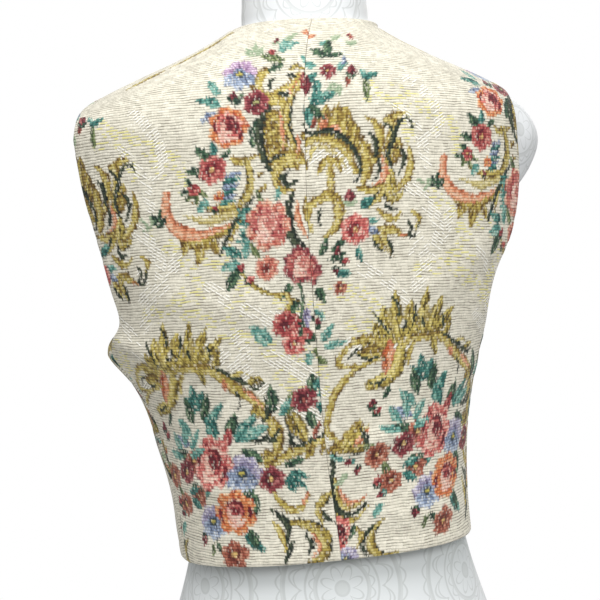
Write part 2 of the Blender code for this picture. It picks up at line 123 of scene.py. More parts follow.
WAISTCOAT_COLUMNS = (
    "z", "back_left", "back_right", "front_left", "front_right", "back", "front",
    "back_edge", "front_edge", "centre_back", "front_start",
)
WAISTCOAT_RINGS = (
    (0.190, 0.1205, 0.1180, 0.1205, 0.1180, 0.1020, 0.1020, 0.036, 0.036, 0.0000, 0.009),
    (0.220, 0.1250, 0.1165, 0.1250, 0.1165, 0.0990, 0.1005, 0.036, 0.036, 0.0020, 0.009),
    (0.245, 0.1275, 0.1160, 0.1275, 0.1160, 0.0980, 0.1015, 0.036, 0.036, 0.0045, 0.009),
    (0.280, 0.1350, 0.1175, 0.1350, 0.1175, 0.0990, 0.1070, 0.036, 0.036, 0.0080, 0.009),
    (0.310, 0.1430, 0.1215, 0.1430, 0.1215, 0.1015, 0.1150, 0.036, 0.036, 0.0100, 0.009),
    (0.338, 0.1560, 0.1270, 0.1560, 0.1270, 0.1045, 0.1240, 0.036, 0.036, 0.0115, 0.009),
    (0.362, 0.1745, 0.1340, 0.1745, 0.1340, 0.1070, 0.1290, 0.036, 0.036, 0.0125, 0.009),
    (0.385, 0.1755, 0.1445, 0.1650, 0.1410, 0.1090, 0.1300, 0.053, -0.030, 0.0135, 0.009),
    (0.415, 0.1840, 0.1545, 0.1560, 0.1450, 0.1105, 0.1250, 0.057, -0.056, 0.0145, 0.010),
    (0.450, 0.1920, 0.1710, 0.1560, 0.1510, 0.1120, 0.1130, 0.057, -0.066, 0.0155, 0.022),
    (0.490, 0.2025, 0.1790, 0.1640, 0.1600, 0.1120, 0.1000, 0.057, -0.063, 0.0155, 0.035),
    (0.530, 0.2080, 0.1780, 0.1820, 0.1730, 0.1110, 0.0930, 0.055, -0.058, 0.0145, 0.045),
)

FORM_COLUMNS = ("z", "half_width", "back", "front", "roundness")
FORM_RINGS = (
    (0.000, 0.1600, 0.1230, 0.1040, 2.3),
    (0.040, 0.1600, 0.1240, 0.1050, 2.3),
    (0.090, 0.1490, 0.1180, 0.1030, 2.3),
    (0.150, 0.1275, 0.1020, 0.0960, 2.2),
    (0.190, 0.1160, 0.0900, 0.0900, 2.2),
    (0.220, 0.1105, 0.0840, 0.0870, 2.2),
    (0.250, 0.1095, 0.0830, 0.0880, 2.2),
    (0.290, 0.1125, 0.0860, 0.0930, 2.2),
    (0.330, 0.1180, 0.0910, 0.0990, 2.2),
    (0.375, 0.1235, 0.0960, 0.1030, 2.2),
    (0.420, 0.1300, 0.0990, 0.0980, 2.2),
    (0.455, 0.1440, 0.1000, 0.0900, 2.2),
    (0.480, 0.1660, 0.0960, 0.0840, 2.1),
    (0.505, 0.1850, 0.0920, 0.0780, 2.0),
    (0.526, 0.1920, 0.0885, 0.0700, 2.0),
    (0.545, 0.1860, 0.0820, 0.0580, 2.0),
    (0.558, 0.1740, 0.0770, 0.0500, 2.1),
    (0.570, 0.1530, 0.0730, 0.0455, 2.2),
    (0.584, 0.1230, 0.0680, 0.0435, 2.2),
    (0.598, 0.0930, 0.0640, 0.0430, 2.2),
    (0.610, 0.0715, 0.0585, 0.0425, 2.1),
    (0.622, 0.0555, 0.0545, 0.0425, 2.0),
    (0.638, 0.0525, 0.0525, 0.0420, 2.0),
    (0.660, 0.0515, 0.0515, 0.0420, 2.0),
    (0.688, 0.0510, 0.0510, 0.0420, 2.0),
)

# The weave: the height of one woven row and the width of one warp step, in millimetres
ROW_PITCH = 2.24
WARP_PITCH = 1.15
# One unit of the woven design, in millimetres
UNIT = 0.77
# The width of one repeat of the design, in millimetres
REPEAT = 222.0
# The width of the band that shows on the shoulder ridge, in the design's units
RIDGE_BAND = 7.0
# How many steps of a wall's outer face one step of its plain inner face spans
INNER_STEP = 7
# The reach of the kernel that eases the bend at the blades' row, and its width, in rows
EASE_REACH = 12
EASE_WIDTH = 6.0


class Side(Enum):
    """The wearer's left, which is +X, and right."""

    LEFT = 1
    RIGHT = -1

    @property
    def word(self) -> str:
        """The side's name as the nodes have it."""
        return self.name.lower()


class Wall(Enum):
    """The two kinds of cloth wall on each side."""

    BACK = "back"
    FRONT = "front"


def unit(vectors: Array) -> Array:
    """Vectors of length one along the last axis."""
    return vectors / np.linalg.norm(vectors, axis=-1, keepdims=True)


def smooth_step(value: Array, low: float, high: float) -> Array:
    """A smooth rise from 0 at low to 1 at high.

    Args:
        value: The values to read.
        low: Where the rise starts.
        high: Where it ends, which may be under low for a fall.

    Returns:
        Values from 0 to 1.
    """
    share = np.clip((value - low) / (high - low), 0.0, 1.0)
    return share * share * (3.0 - 2.0 * share)


def speckle(a: Array, b: Array, seed: float) -> Array:
    """A fixed random number from 0 to 1 for each pair of whole numbers."""
    mixed = np.sin(a * 12.9898 + b * 78.233 + seed * 37.719) * 43758.5453
    return mixed - np.floor(mixed)


def cubic(t: Array, start: Array, leave: Array, end: Array, arrive: Array) -> Array:
    """A smooth curve's places at shares t, from its two ends and its slopes there.

    Args:
        t: How far along the curve, from 0 to 1.
        start: Where it starts.
        leave: Its slope there, over the whole span.
        end: Where it ends.
        arrive: Its slope at the end.

    Returns:
        The places.
    """
    return (
        (2 * t**3 - 3 * t**2 + 1) * start
        + (t**3 - 2 * t**2 + t) * leave
        + (3 * t**2 - 2 * t**3) * end
        + (t**3 - t**2) * arrive
    )


class Profile:
    """A table of named columns, read at any height by a smooth curve through its rows."""

    def __init__(self, columns: tuple[str, ...], rows: tuple[tuple[float, ...], ...]) -> None:
        """Keeps the columns and their slopes.

        Args:
            columns: The columns' names, the heights' first.
            rows: The table's rows, from the lowest up.
        """
        values = np.array(rows, dtype=float)
        self.heights = values[:, 0]
        self.values = {name: values[:, i] for i, name in enumerate(columns)}
        self.slopes = {name: np.gradient(v, self.heights) for name, v in self.values.items()}

    def __call__(self, name: str, z: Array | float) -> Array:
        """Reads a column at any height, by a cubic curve between the rows.

        Args:
            name: The column.
            z: The heights to read, in metres.

        Returns:
            The column's values there.
        """
        z = np.clip(z, self.heights[0], self.heights[-1])
        i = np.clip(np.searchsorted(self.heights, z) - 1, 0, len(self.heights) - 2)
        span = self.heights[i + 1] - self.heights[i]
        t = (z - self.heights[i]) / span
        start, end = self.values[name][i], self.values[name][i + 1]
        leave, arrive = self.slopes[name][i] * span, self.slopes[name][i + 1] * span
        return cubic(t, start, leave, end, arrive)


WAISTCOAT = Profile(WAISTCOAT_COLUMNS, WAISTCOAT_RINGS)
FORM = Profile(FORM_COLUMNS, FORM_RINGS)


def ring_points(
    side: int, z: Array, angle: Array, half_width: Array, centre: Array, back: Array, front: Array
) -> Array:
    """Points of rings of the waistcoat.

    Args:
        side: 1 for the wearer's left and -1 for the right.
        z: The rings' heights.
        angle: How far round from the centre front, in radians.
        half_width: The rings' half width on that side.
        centre: The sideways place of the centre of the back.
        back: The rings' depth behind.
        front: Their depth in front.

    Returns:
        The points.
    """
    across = np.sin(angle)
    behind = angle > math.pi / 2
    middle = np.where(behind, centre, 0.0)
    depth = np.where(behind, back, -front)
    roundness = np.where(behind, BACK_ROUNDNESS, FRONT_ROUNDNESS)
    along = np.maximum(0.0, 1.0 - np.abs(across) ** roundness) ** (1.0 / roundness)
    x = middle + (side * half_width - middle) * across
    return np.stack(np.broadcast_arrays(x, depth * along, z), axis=-1)


def edge_angle(edge: Array, back: Array, front: Array) -> Array:
    """The angle from the centre front at which a ring reaches the depth of an edge.

    Args:
        edge: The edge's depth, which is more than 0 behind.
        back: The rings' depth behind.
        front: Their depth in front.

    Returns:
        The angle, in radians.
    """
    behind = edge > 0
    depth = np.where(behind, back, front)
    roundness = np.where(behind, BACK_ROUNDNESS, FRONT_ROUNDNESS)
    angle = np.arcsin((1.0 - (np.abs(edge) / depth) ** roundness) ** (1.0 / roundness))
    return np.where(behind, math.pi - angle, angle)


def tilted(points: Array) -> Array:
    """Lowers the hem and the rings just above it on the wearer's left.

    Args:
        points: Points of the waistcoat.

    Returns:
        The moved points.
    """
    share = np.clip((TILT_ENDS - points[..., 2]) / (TILT_ENDS - HEM_HEIGHT), 0.0, 1.0)
    moved = points.copy()
    moved[..., 2] += HEM_TILT * points[..., 0] * share
    return moved


def edge_depth(name: str, z: Array) -> Array:
    """The depth of a wall's outer edge, which is the side seam as far up as the underarm."""
    return np.where(z <= UNDERARM_HEIGHT, SIDE_SEAM_DEPTH, WAISTCOAT(name, z))


def ridge_height(x: Array) -> Array:
    """Height of the form's shoulder line at a sideways place."""
    heights = np.linspace(BLADE_HEIGHT, FORM_HEIGHT, 400)
    return np.interp(-np.abs(x), -FORM("half_width", heights), heights)


def seam_top(side: int, share: Array) -> Array:
    """Points of the shoulder seam, at shares of the way from the neck to the shoulder tip.

    Args:
        side: 1 for the wearer's left and -1 for the right.
        share: The shares of the way.

    Returns:
        The points.
    """
    across = NECK_HALF_WIDTH + (SHOULDER_HALF_WIDTH - NECK_HALF_WIDTH) * share
    x = side * across + NECK_SHIFT + (SHOULDER_SHIFT - NECK_SHIFT) * share
    over = np.minimum(np.abs(x), across)
    slope = (ridge_height(over + STEP) - ridge_height(over - STEP)) / (2 * STEP)
    lift = (WALL + SHOULDER_CLEARANCE) * np.hypot(1.0, slope)
    lift = lift + NECK_CLEARANCE * (1.0 - share) ** 3
    return np.stack((x, np.zeros_like(x), ridge_height(over) + lift), axis=-1)


def neckline(side: int, share: Array) -> Array:
    """Points of the back neckline, at shares of the way from the nape to the side of the neck.

    Args:
        side: 1 for the wearer's left and -1 for the right.
        share: The shares of the way.

    Returns:
        The points.
    """
    end = seam_top(side, np.zeros(1))[0]
    turn = share * math.pi / 2
    swing = np.maximum(0.0, np.cos(turn)) ** NECKLINE_SQUARENESS
    x = NECK_SHIFT + (end[0] - NECK_SHIFT) * np.sin(turn) ** NECKLINE_SQUARENESS
    y = end[1] + (NAPE_DEPTH - end[1]) * swing
    z = NECK_HEIGHT + (end[2] - NECK_HEIGHT) * share**2
    return np.stack((x, y, z), axis=-1)


def rolled(start: Array, end: Array, turn: Array, share: Array) -> Array:
    """Points on the part of a wall that rolls over the shoulder, from start up to end.

    Args:
        start: Where the roll starts.
        end: Where it ends.
        turn: The angle that it turns through, in radians.
        share: How much of that turn is made, from 0 to 1.

    Returns:
        The points.
    """
    angle = turn * share
    rise = np.sin(angle) / np.sin(turn)
    stay = (np.cos(angle) - np.cos(turn)) / (1.0 - np.cos(turn))
    x = end[..., 0] + (start[..., 0] - end[..., 0]) * stay
    y = end[..., 1] + (start[..., 1] - end[..., 1]) * stay
    z = start[..., 2] + (end[..., 2] - start[..., 2]) * rise
    return np.stack((x, y, z), axis=-1)


def chest_point(x: Array | float, z: Array | float) -> Array:
    """The point of the fronts' outer face at a sideways place and a height, across the gap too.

    Args:
        x: The sideways place, in metres.
        z: The height, in metres.

    Returns:
        The point.
    """
    x, z = np.broadcast_arrays(np.asarray(x, dtype=float), np.asarray(z, dtype=float))
    left = WAISTCOAT("back_left", z)
    half_width = np.where(x >= 0, left, WAISTCOAT("back_right", z))
    along = np.maximum(0.0, 1.0 - (np.abs(x) / half_width) ** FRONT_ROUNDNESS)
    y = -WAISTCOAT("front", z) * along ** (1.0 / FRONT_ROUNDNESS)
    return tilted(np.stack((x, y, z), axis=-1))


def chest_frame(x: Array | float, z: Array | float) -> tuple[Array, Array]:
    """The point of the fronts' outer face there, and the unit normal that points outwards.

    Args:
        x: The sideways place, in metres.
        z: The height, in metres.

    Returns:
        The point and the normal.
    """
    across = chest_point(np.add(x, STEP), z) - chest_point(np.subtract(x, STEP), z)
    along = chest_point(x, np.add(z, STEP)) - chest_point(x, np.subtract(z, STEP))
    return chest_point(x, z), unit(np.cross(across, along))


def eyelet_place(side: int, pair: int) -> Place:
    """The sideways place and the height of an eyelet, counted from the lowest pair."""
    z = LOWEST_EYELET + pair * EYELET_PITCH
    return side * (float(WAISTCOAT("front_start", z)) + EYELET_INSET), z


@dataclass(frozen=True)
class Tones:
    """The threads that one motif is woven from, as red, green and blue from 0 to 255."""

    edge: Colour
    dark: Colour
    middle: Colour
    light: Colour


# The tapestry's sets of threads, and the colours of its ground and of its inner face
GOLD = Tones((92, 70, 38), (142, 116, 54), (190, 170, 86), (224, 210, 140))
GOLD_INK = Tones((40, 44, 36), (118, 98, 46), (176, 156, 76), (216, 202, 134))
OLIVE = Tones((80, 68, 36), (152, 132, 62), (204, 186, 98), (236, 222, 150))
STRAW = Tones((160, 142, 82), (188, 170, 102), (212, 198, 136), (230, 220, 176))
CORAL = Tones((156, 84, 54), (206, 124, 88), (230, 162, 124), (240, 200, 168))
TEAL = Tones((30, 74, 72), (50, 110, 102), (90, 150, 138), (150, 196, 180))
SEA = Tones((62, 118, 110), (96, 154, 144), (138, 188, 174), (190, 218, 202))
PINE = Tones((26, 44, 38), (44, 74, 58), (76, 108, 80), (130, 154, 118))
MOSS = Tones((58, 74, 48), (88, 106, 66), (126, 142, 94), (176, 184, 138))
MIST = Tones((146, 168, 138), (168, 186, 154), (190, 204, 174), (212, 220, 194))
PINK = Tones((112, 34, 44), (182, 78, 78), (218, 124, 114), (246, 198, 182))
BLUSH = Tones((196, 112, 104), (218, 146, 132), (236, 182, 164), (248, 218, 202))
SALMON = Tones((128, 50, 46), (190, 94, 82), (218, 140, 118), (242, 198, 172))
ROSE = Tones((100, 32, 42), (152, 58, 62), (186, 92, 88), (222, 152, 138))
FLAME = Tones((140, 50, 36), (194, 92, 56), (220, 132, 80), (238, 184, 136))
WINE = Tones((68, 26, 34), (108, 38, 48), (142, 62, 68), (190, 118, 114))
RUST = Tones((94, 42, 36), (140, 70, 56), (176, 104, 82), (214, 156, 130))
LILAC = Tones((88, 78, 106), (138, 132, 164), (182, 176, 202), (226, 220, 230))
SKY = Tones((72, 82, 106), (126, 142, 170), (172, 186, 208), (220, 226, 234))
INK = Tones((22, 30, 26), (30, 40, 34), (46, 58, 46), (78, 88, 66))
ORCHID = Tones((112, 82, 116), (160, 126, 162), (194, 164, 196), (228, 208, 226))
GROUND: Colour = (228, 223, 206)
REVERSE: Colour = (206, 198, 176)


def curve_through(points: list[Place], count: int = 48) -> Array:
    """Points along a smooth curve through the given ones.

    Args:
        points: The places that the curve passes through.
        count: How many points to give.

    Returns:
        The points along it.
    """
    given = np.array(points, dtype=float)
    steps = np.concatenate(((0.0,), np.cumsum(np.hypot(*np.diff(given, axis=0).T) ** 0.5)))
    slopes = np.gradient(given, steps, axis=0) if len(given) > 2 else None
    where = np.linspace(0.0, steps[-1], count)
    if slopes is None:
        share = (where / steps[-1])[:, None]
        return given[0] + (given[1] - given[0]) * share
    i = np.clip(np.searchsorted(steps, where) - 1, 0, len(steps) - 2)
    span = (steps[i + 1] - steps[i])[:, None]
    t = (where[:, None] - steps[i][:, None]) / span
    return cubic(t, given[i], slopes[i] * span, given[i + 1], slopes[i + 1] * span)


class Weaver:
    """Weaves motifs into a piece of cloth, row by row and thread by thread.

    Attributes:
        GRIP: How far a place is drawn to its thread's middle, across and up, as shares.
        STRAY: How far threads stray from their places, across and up, in millimetres.
        PATCH: How many warp steps keep one tone of the ground.
        PATCH_TONE: How far such patches differ, in steps of 255.
        UNEVEN: How far the tones of single threads and of pairs of rows differ, as shares.
        PETAL_LIFT: How high the petals stand, as a share of the other figures' height.
    """

    GRIP: Pair = (0.5, 0.7)
    STRAY: Pair = (1.5, 1.9)
    PATCH = 5
    PATCH_TONE = 12.0
    UNEVEN: Pair = (0.34, 0.36)
    PETAL_LIFT = 1.15

    def __init__(self, across: Array, up: Array) -> None:
        """Sets up plain ground.

        Args:
            across: Each point's place across the cloth, in millimetres, to the viewer's right.
            up: Each point's place up the cloth, in millimetres.
        """
        row = np.floor(up / ROW_PITCH)
        shift = 0.5 * np.mod(row, 2)
        step = np.floor(across / WARP_PITCH + shift)
        self.noise = speckle(step, row, 1.0)
        self.pairs = speckle(step, np.floor(row / 2), 4.0)
        loose_s = (speckle(step, row, 2.0) - 0.5) * self.STRAY[0]
        loose_t = (speckle(step, row, 3.0) - 0.5) * self.STRAY[1]
        thread_s, thread_t = (step + 0.5 - shift) * WARP_PITCH, (row + 0.5) * ROW_PITCH
        self.s = across + (thread_s - across) * self.GRIP[0] + loose_s
        self.t = up + (thread_t - up) * self.GRIP[1] + loose_t
        self.colour = np.empty((len(across), 3))
        self.colour[:] = GROUND
        patch = speckle(np.floor(step / self.PATCH), row, 6.0) - 0.5
        self.colour += patch[:, None] * self.PATCH_TONE
        self.raised = np.zeros(len(across))
        self.floats = np.zeros(len(across))
        self.flecks = np.zeros(len(across))
        self.p, self.q = self.s, self.t

    def stand(self, at: Place, part: Place = (0.0, 0.0), lean: Pair = (0.0, 0.0),
              wide: Pair = (1.0, 1.0)) -> None:
        """Moves a part of the drawing to a place on the cloth.

        Args:
            at: The place, in millimetres.
            part: The part that lies there, in the drawing's units.
            lean: How far the drawing leans to the viewer's right over that part and how far to
                the left under it, as shares.
            wide: How far the cloth is spread to the viewer's left and right of that part.
        """
        raw = (self.s - at[0]) / UNIT
        over = (self.t - at[1]) / UNIT
        self.q = over + part[1]
        spread = np.where(raw < 0, raw / wide[0], raw / wide[1])
        self.p = part[0] + spread - over * np.where(over > 0, lean[0], lean[1])

    def near(self, x: float, y: float, reach: float) -> Array:
        """The points within reach of a place, as indices."""
        return np.flatnonzero((np.abs(self.p - x) < reach) & (np.abs(self.q - y) < reach))

    def around(self, line: Array, margin: float) -> Array:
        """The points within a margin of the square round a line, as indices.

        Args:
            line: The line's points.
            margin: The margin, in the drawing's units.

        Returns:
            Their indices.
        """
        high, low = line.max(axis=0), line.min(axis=0)
        centre = (high + low) / 2
        return self.near(centre[0], centre[1], (high - low).max() / 2 + margin)

    def lay(self, points: Array, cover: Array, colour: Array, raise_by: float = 1.0) -> None:
        """Lays thread over points.

        Args:
            points: Their indices.
            cover: How much of each is covered, from 0 to 1.
            colour: One colour, or one for each point.
            raise_by: How far the motif stands over the ground, as a share.
        """
        share = np.clip(cover, 0.0, 1.0)[:, None]
        old = self.colour[points]
        self.colour[points] = old + (np.asarray(colour, dtype=float) - old) * share
        lift = self.raised[points]
        self.raised[points] = lift + (raise_by - lift) * share[:, 0]
        self.floats[points] *= 1.0 - share[:, 0]
        self.flecks[points] *= 1.0 - share[:, 0]

    def shade(self, points: Array, value: Array, tones: Tones) -> Array:
        """A colour for each point: 0 is the edge tone and 1 the light tone.

        Args:
            points: The points' indices.
            value: How light each point is, from 0 to 1.
            tones: The threads.

        Returns:
            The colours.
        """
        uneven = (self.noise[points] - 0.5) * self.UNEVEN[0]
        uneven = uneven + (self.pairs[points] - 0.5) * self.UNEVEN[1]
        value = np.clip(value + uneven, 0.0, 1.0) * 3.0
        steps = np.array((tones.edge, tones.dark, tones.middle, tones.light), dtype=float)
        low = np.minimum(value.astype(int), 2)
        share = smooth_step(value - low, 0.25, 0.75)[:, None]
        return steps[low] + (steps[low + 1] - steps[low]) * share

    def leaf(
        self, x: float, y: float, length: float, width: float, angle: float,
        tones: Tones, bend: float = 0.0, teeth: int = 0,
    ) -> None:
        """A pointed leaf with a dark vein.

        Args:
            x: Its base across.
            y: Its base up.
            length: Its length.
            width: Its greatest width.
            angle: Where it points, in degrees from the viewer's right.
            tones: Its threads.
            bend: How far it bends to its left, as a share of half its length.
            teeth: How many teeth its edge has.
        """
        found = self.near(x, y, length * 1.15)
        turn = math.radians(angle)
        dx, dy = self.p[found] - x, self.q[found] - y
        a = (dx * math.cos(turn) + dy * math.sin(turn)) / length
        b = dy * math.cos(turn) - dx * math.sin(turn) - bend * length * a * (1.0 - a) * 2.0
        body = np.sin(math.pi * np.clip(a, 0.0, 1.0) ** 0.8) ** 0.75
        if teeth:
            body = body * (0.82 + 0.28 * np.abs(np.sin(a * math.pi * teeth)))
        half = np.maximum(width / 2 * body, 1e-6)
        off = np.abs(b) / half
        cover = smooth_step(off, 1.15, 0.85) * ((a > 0.0) & (a < 1.0))
        value = 0.80 - 0.55 * smooth_step(off, 0.5, 1.0) - 0.28 * (b < 0)
        value = value + 0.12 * np.sin(a * length / 1.9 + off * 2.5)
        value = value - 0.60 * smooth_step(np.abs(b) * UNIT, 0.9, 0.2) * (a < 0.85)
        self.lay(found, cover, self.shade(found, value, tones))

    def stroke(
        self, points: list[Place], width: float, tones: Tones, start: float = 0.35,
        end: float = 0.15, frill: float = 0.0, waves: int = 0, turned: bool = False,
    ) -> None:
        """A curved band with shaded edges.

        Args:
            points: The places that it passes through.
            width: Its greatest width.
            tones: Its threads. The edge tone lies on its left side as it runs.
            start: Its width at its start, as a share.
            end: Its width at its end, as a share.
            frill: How deep the scallops of its left side are, as a share of the width.
            waves: How many scallops there are.
            turned: Whether the edge tone lies on the right side instead.
        """
        line = curve_through(points)
        found = self.around(line, width * (1.0 + frill))
        if not len(found):
            return
        here = np.stack((self.p[found], self.q[found]), axis=-1)
        starts, runs = line[:-1], np.diff(line, axis=0)
        gap = here[:, None, :] - starts[None]
        share = np.clip(np.sum(gap * runs, axis=-1) / np.sum(runs * runs, axis=-1), 0.0, 1.0)
        away = gap - share[..., None] * runs
        distance = np.hypot(away[..., 0], away[..., 1])
        best = np.argmin(distance, axis=1)
        pick = np.arange(len(found))
        along = (best + share[pick, best]) / len(runs)
        run, off = runs[best], away[pick, best]
        side = np.sign(run[:, 0] * off[:, 1] - run[:, 1] * off[:, 0]) * (-1.0 if turned else 1.0)
        half = width * 0.58 * np.interp(along, (0.0, 0.45, 1.0), (start, 1.0, end))
        if waves:
            scallop = 1.0 + frill * np.abs(np.sin(along * math.pi * waves))
            half = np.where(side > 0, half * scallop, half)
        t = side * distance[pick, best] / half
        cover = smooth_step(np.abs(t), 1.12, 0.88)
        whole = np.sin(along * 23.0 + points[0][0]) + np.sin(along * 41.0 + points[0][1]) > -0.8
        value = np.interp(t, (-1.0, -0.8, -0.45, 0.1, 0.5, 0.75, 1.0),
                          (0.15, 0.6, 1.0, 0.70, 0.44, 0.16, 0.0))
        value = np.where(whole | (t < 0.4), value, 0.55)
        value = value + 0.13 * np.sin(along * len(points) * 15.0 + t * 1.6)
        self.lay(found, cover, self.shade(found, value, tones))

    def leaves(self, *rows: tuple) -> None:
        """Several leaves, each a row of what leaf takes."""
        for row in rows:
            self.leaf(*row)

    def strokes(self, *rows: tuple) -> None:
        """Several strokes, each a row of what stroke takes."""
        for row in rows:
            self.stroke(*row)

    def petal(self, x: float, y: float, radius: float, towards: float, tones: Tones) -> None:
        """A round petal, dark at its foot and light at its rim.

        Args:
            x: Its centre across.
            y: Its centre up.
            radius: Its radius.
            towards: The direction from the flower's heart to its rim, in radians.
            tones: Its threads.
        """
        found = self.near(x, y, radius * 1.2)
        dx, dy = (self.p[found] - x) / radius, (self.q[found] - y) / radius
        away = np.hypot(dx, dy)
        outwards = dx * math.cos(towards) + dy * math.sin(towards)
        aside = dy * math.cos(towards) - dx * math.sin(towards)
        away = away * (1.0 + 0.07 * np.sin(7.0 * np.arctan2(aside, outwards + 0.2) + x))
        cover = smooth_step(away, 1.08, 0.9)
        rim = smooth_step(away, 0.76, 1.0)
        value = 0.50 + 0.46 * outwards + np.where(aside > -0.15, -0.80, 0.30) * rim
        value = value + 0.16 * np.cos(aside * 8.0)
        self.lay(found, cover, self.shade(found, value, tones), self.PETAL_LIFT)

    def rose(self, x: float, y: float, radius: float, tones: Tones, heart: Tones,
             tall: float = 1.0, turn: float = 0.0, inner: Tones | None = None) -> None:
        """A full rose of three rounds of petals round a dark heart.

        Args:
            x: Its centre across.
            y: Its centre up.
            radius: Its radius.
            tones: The threads of its outer petals.
            heart: The threads of its heart.
            tall: Its height as a share of its width.
            turn: How far it is turned, in degrees.
            inner: The threads of its middle petals, if they differ.
        """
        rounds = ((0.66, 0.40, 7, tones), (0.42, 0.36, 5, inner or tones), (0.20, 0.28, 3, heart))
        for number, (out, size, count, threads) in enumerate(rounds):
            for i in range(count):
                angle = math.radians(turn) + 2 * math.pi * (i + 0.5 * number) / count
                self.petal(
                    x + radius * out * math.cos(angle),
                    y + radius * out * math.sin(angle) * tall,
                    radius * size, angle, threads,
                )
        glow, deep = (BLUSH, 0.85), (heart, 0.0)
        for out, first, last, width, (threads, value) in (
            (0.56, 205, 300, 0.13, glow), (0.50, 20, 95, 0.12, glow), (0.44, -50, 130, 0.09, deep),
            (0.30, 120, 310, 0.15, glow), (0.20, -80, 150, 0.10, deep), (0.74, 140, 190, 0.10, deep),
            (0.76, 310, 350, 0.10, deep),
        ):
            self.arc(x, y, radius * out, first + turn, last + turn, radius * width, threads, tall,
                     value)

    def arc(self, x: float, y: float, radius: float, first: float, last: float, width: float,
            tones: Tones, tall: float = 1.0, value: float = 0.85) -> None:
        """A crescent of thread round a flower's heart.

        Args:
            x: The flower's centre across.
            y: The flower's centre up.
            radius: The crescent's radius.
            first: Where it starts, in degrees.
            last: Where it ends, in degrees.
            width: Half its greatest width.
            tones: Its threads.
            tall: Its height as a share of its width.
            value: How light it is, from 0 to 1.
        """
        found = self.near(x, y, radius * max(tall, 1.0) + width)
        dx, dy = self.p[found] - x, (self.q[found] - y) / tall
        round_ = np.mod(np.degrees(np.arctan2(dy, dx)) - first, 360.0) / (last - first)
        half = width * np.sqrt(np.clip(4.0 * round_ * (1.0 - round_), 0.0, 1.0)) + 1e-6
        off = np.abs(np.hypot(dx, dy) - radius) / half
        cover = smooth_step(off, 1.1, 0.7) * (round_ < 1.0)
        self.lay(found, cover, self.shade(found, value + 0.0 * dx, tones), self.PETAL_LIFT)

    def anemone(self, x: float, y: float, radius: float, turn: float = 0.0,
                tones: Tones = LILAC) -> None:
        """An open flower with rounded petals, a dark ring and a yellow-green eye.

        Args:
            x: Its centre across.
            y: Its centre up.
            radius: Its radius.
            turn: Where its first petal points, in degrees.
            tones: The threads of its petals, but for three blue ones.
        """
        for i in range(7):
            angle = math.radians(turn) + 2 * math.pi * i / 7
            threads = SKY if i in (4, 5, 6) else tones
            self.petal(x + radius * 0.60 * math.cos(angle), y + radius * 0.60 * math.sin(angle),
                       radius * 0.42, angle, threads)
        found = self.near(x, y, radius * 0.6)
        dx, dy = self.p[found] - x, self.q[found] - y
        away, round_ = np.hypot(dx, dy) / radius, np.arctan2(dy, dx)
        ring = 0.40 + 0.06 * np.cos(9 * round_)
        self.lay(found, smooth_step(away, ring + 0.06, ring - 0.06),
                 self.shade(found, 0.15 + 0.4 * smooth_step(away, 0.2, 0.4), SKY))
        self.lay(found, smooth_step(away, 0.27, 0.20), (52, 66, 74))
        self.lay(found, smooth_step(away, 0.17, 0.11), (196, 182, 92))

    def blossom(self, x: float, y: float, radius: float, tones: Tones, petals: int = 5,
                turn: float = 90.0, eye: Colour = (226, 190, 120)) -> None:
        """A small flower of separate round petals with a light eye.

        Args:
            x: Its centre across.
            y: Its centre up.
            radius: Its radius.
            tones: Its threads.
            petals: How many petals it has.
            turn: Where its first petal points, in degrees.
            eye: The colour of its eye.
        """
        for i in range(petals):
            angle = math.radians(turn) + 2 * math.pi * i / petals
            self.petal(x + radius * 0.58 * math.cos(angle), y + radius * 0.58 * math.sin(angle),
                       radius * 0.46, angle, tones)
        self.arc(x, y, radius * 0.36, turn, turn + 150, radius * 0.12, tones, 1.0, 0.0)
        self.arc(x, y, radius * 0.42, turn + 190, turn + 290, radius * 0.12, tones, 1.0, 1.0)
        found = self.near(x, y, radius * 0.4)
        away = np.hypot(self.p[found] - x, self.q[found] - y) / radius
        self.lay(found, smooth_step(away, 0.24, 0.12), eye)

    def bud(self, x: float, y: float, size: float, angle: float, tones: Tones,
            green: Tones = PINE) -> None:
        """A closed bud with two short sepals at its foot.

        Args:
            x: Its centre across.
            y: Its centre up.
            size: About half its length.
            angle: Where it points, in degrees.
            tones: Its threads.
            green: The threads of its sepals.
        """
        turn = math.radians(angle)
        foot_x, foot_y = x - size * math.cos(turn), y - size * math.sin(turn)
        self.leaf(foot_x, foot_y, size * 2.2, size * 1.5, angle, tones)
        for swing in (-42, 42):
            self.leaf(foot_x, foot_y, size * 1.3, size * 0.6, angle + swing, green)

    def spray(self, x: float, y: float, length: float, angle: float, tones: Tones,
              pairs: int = 2, width: float = 0.42) -> None:
        """A sprig: one leaf at its tip and pairs of leaves below.

        Args:
            x: Its foot across.
            y: Its foot up.
            length: Its length.
            angle: Where it points, in degrees.
            tones: Its threads.
            pairs: How many pairs of leaves it has.
            width: The leaves' width as a share of their length.
        """
        turn = math.radians(angle)
        for i in range(pairs):
            foot = length * (0.12 + 0.42 * i / pairs)
            for swing in (-48, 48):
                self.leaf(x + foot * math.cos(turn), y + foot * math.sin(turn),
                          length * 0.55, length * 0.55 * width, angle + swing, tones,
                          bend=math.copysign(0.18, swing))
        self.leaf(x + length * 0.4 * math.cos(turn), y + length * 0.4 * math.sin(turn),
                  length * 0.6, length * 0.6 * width, angle, tones)

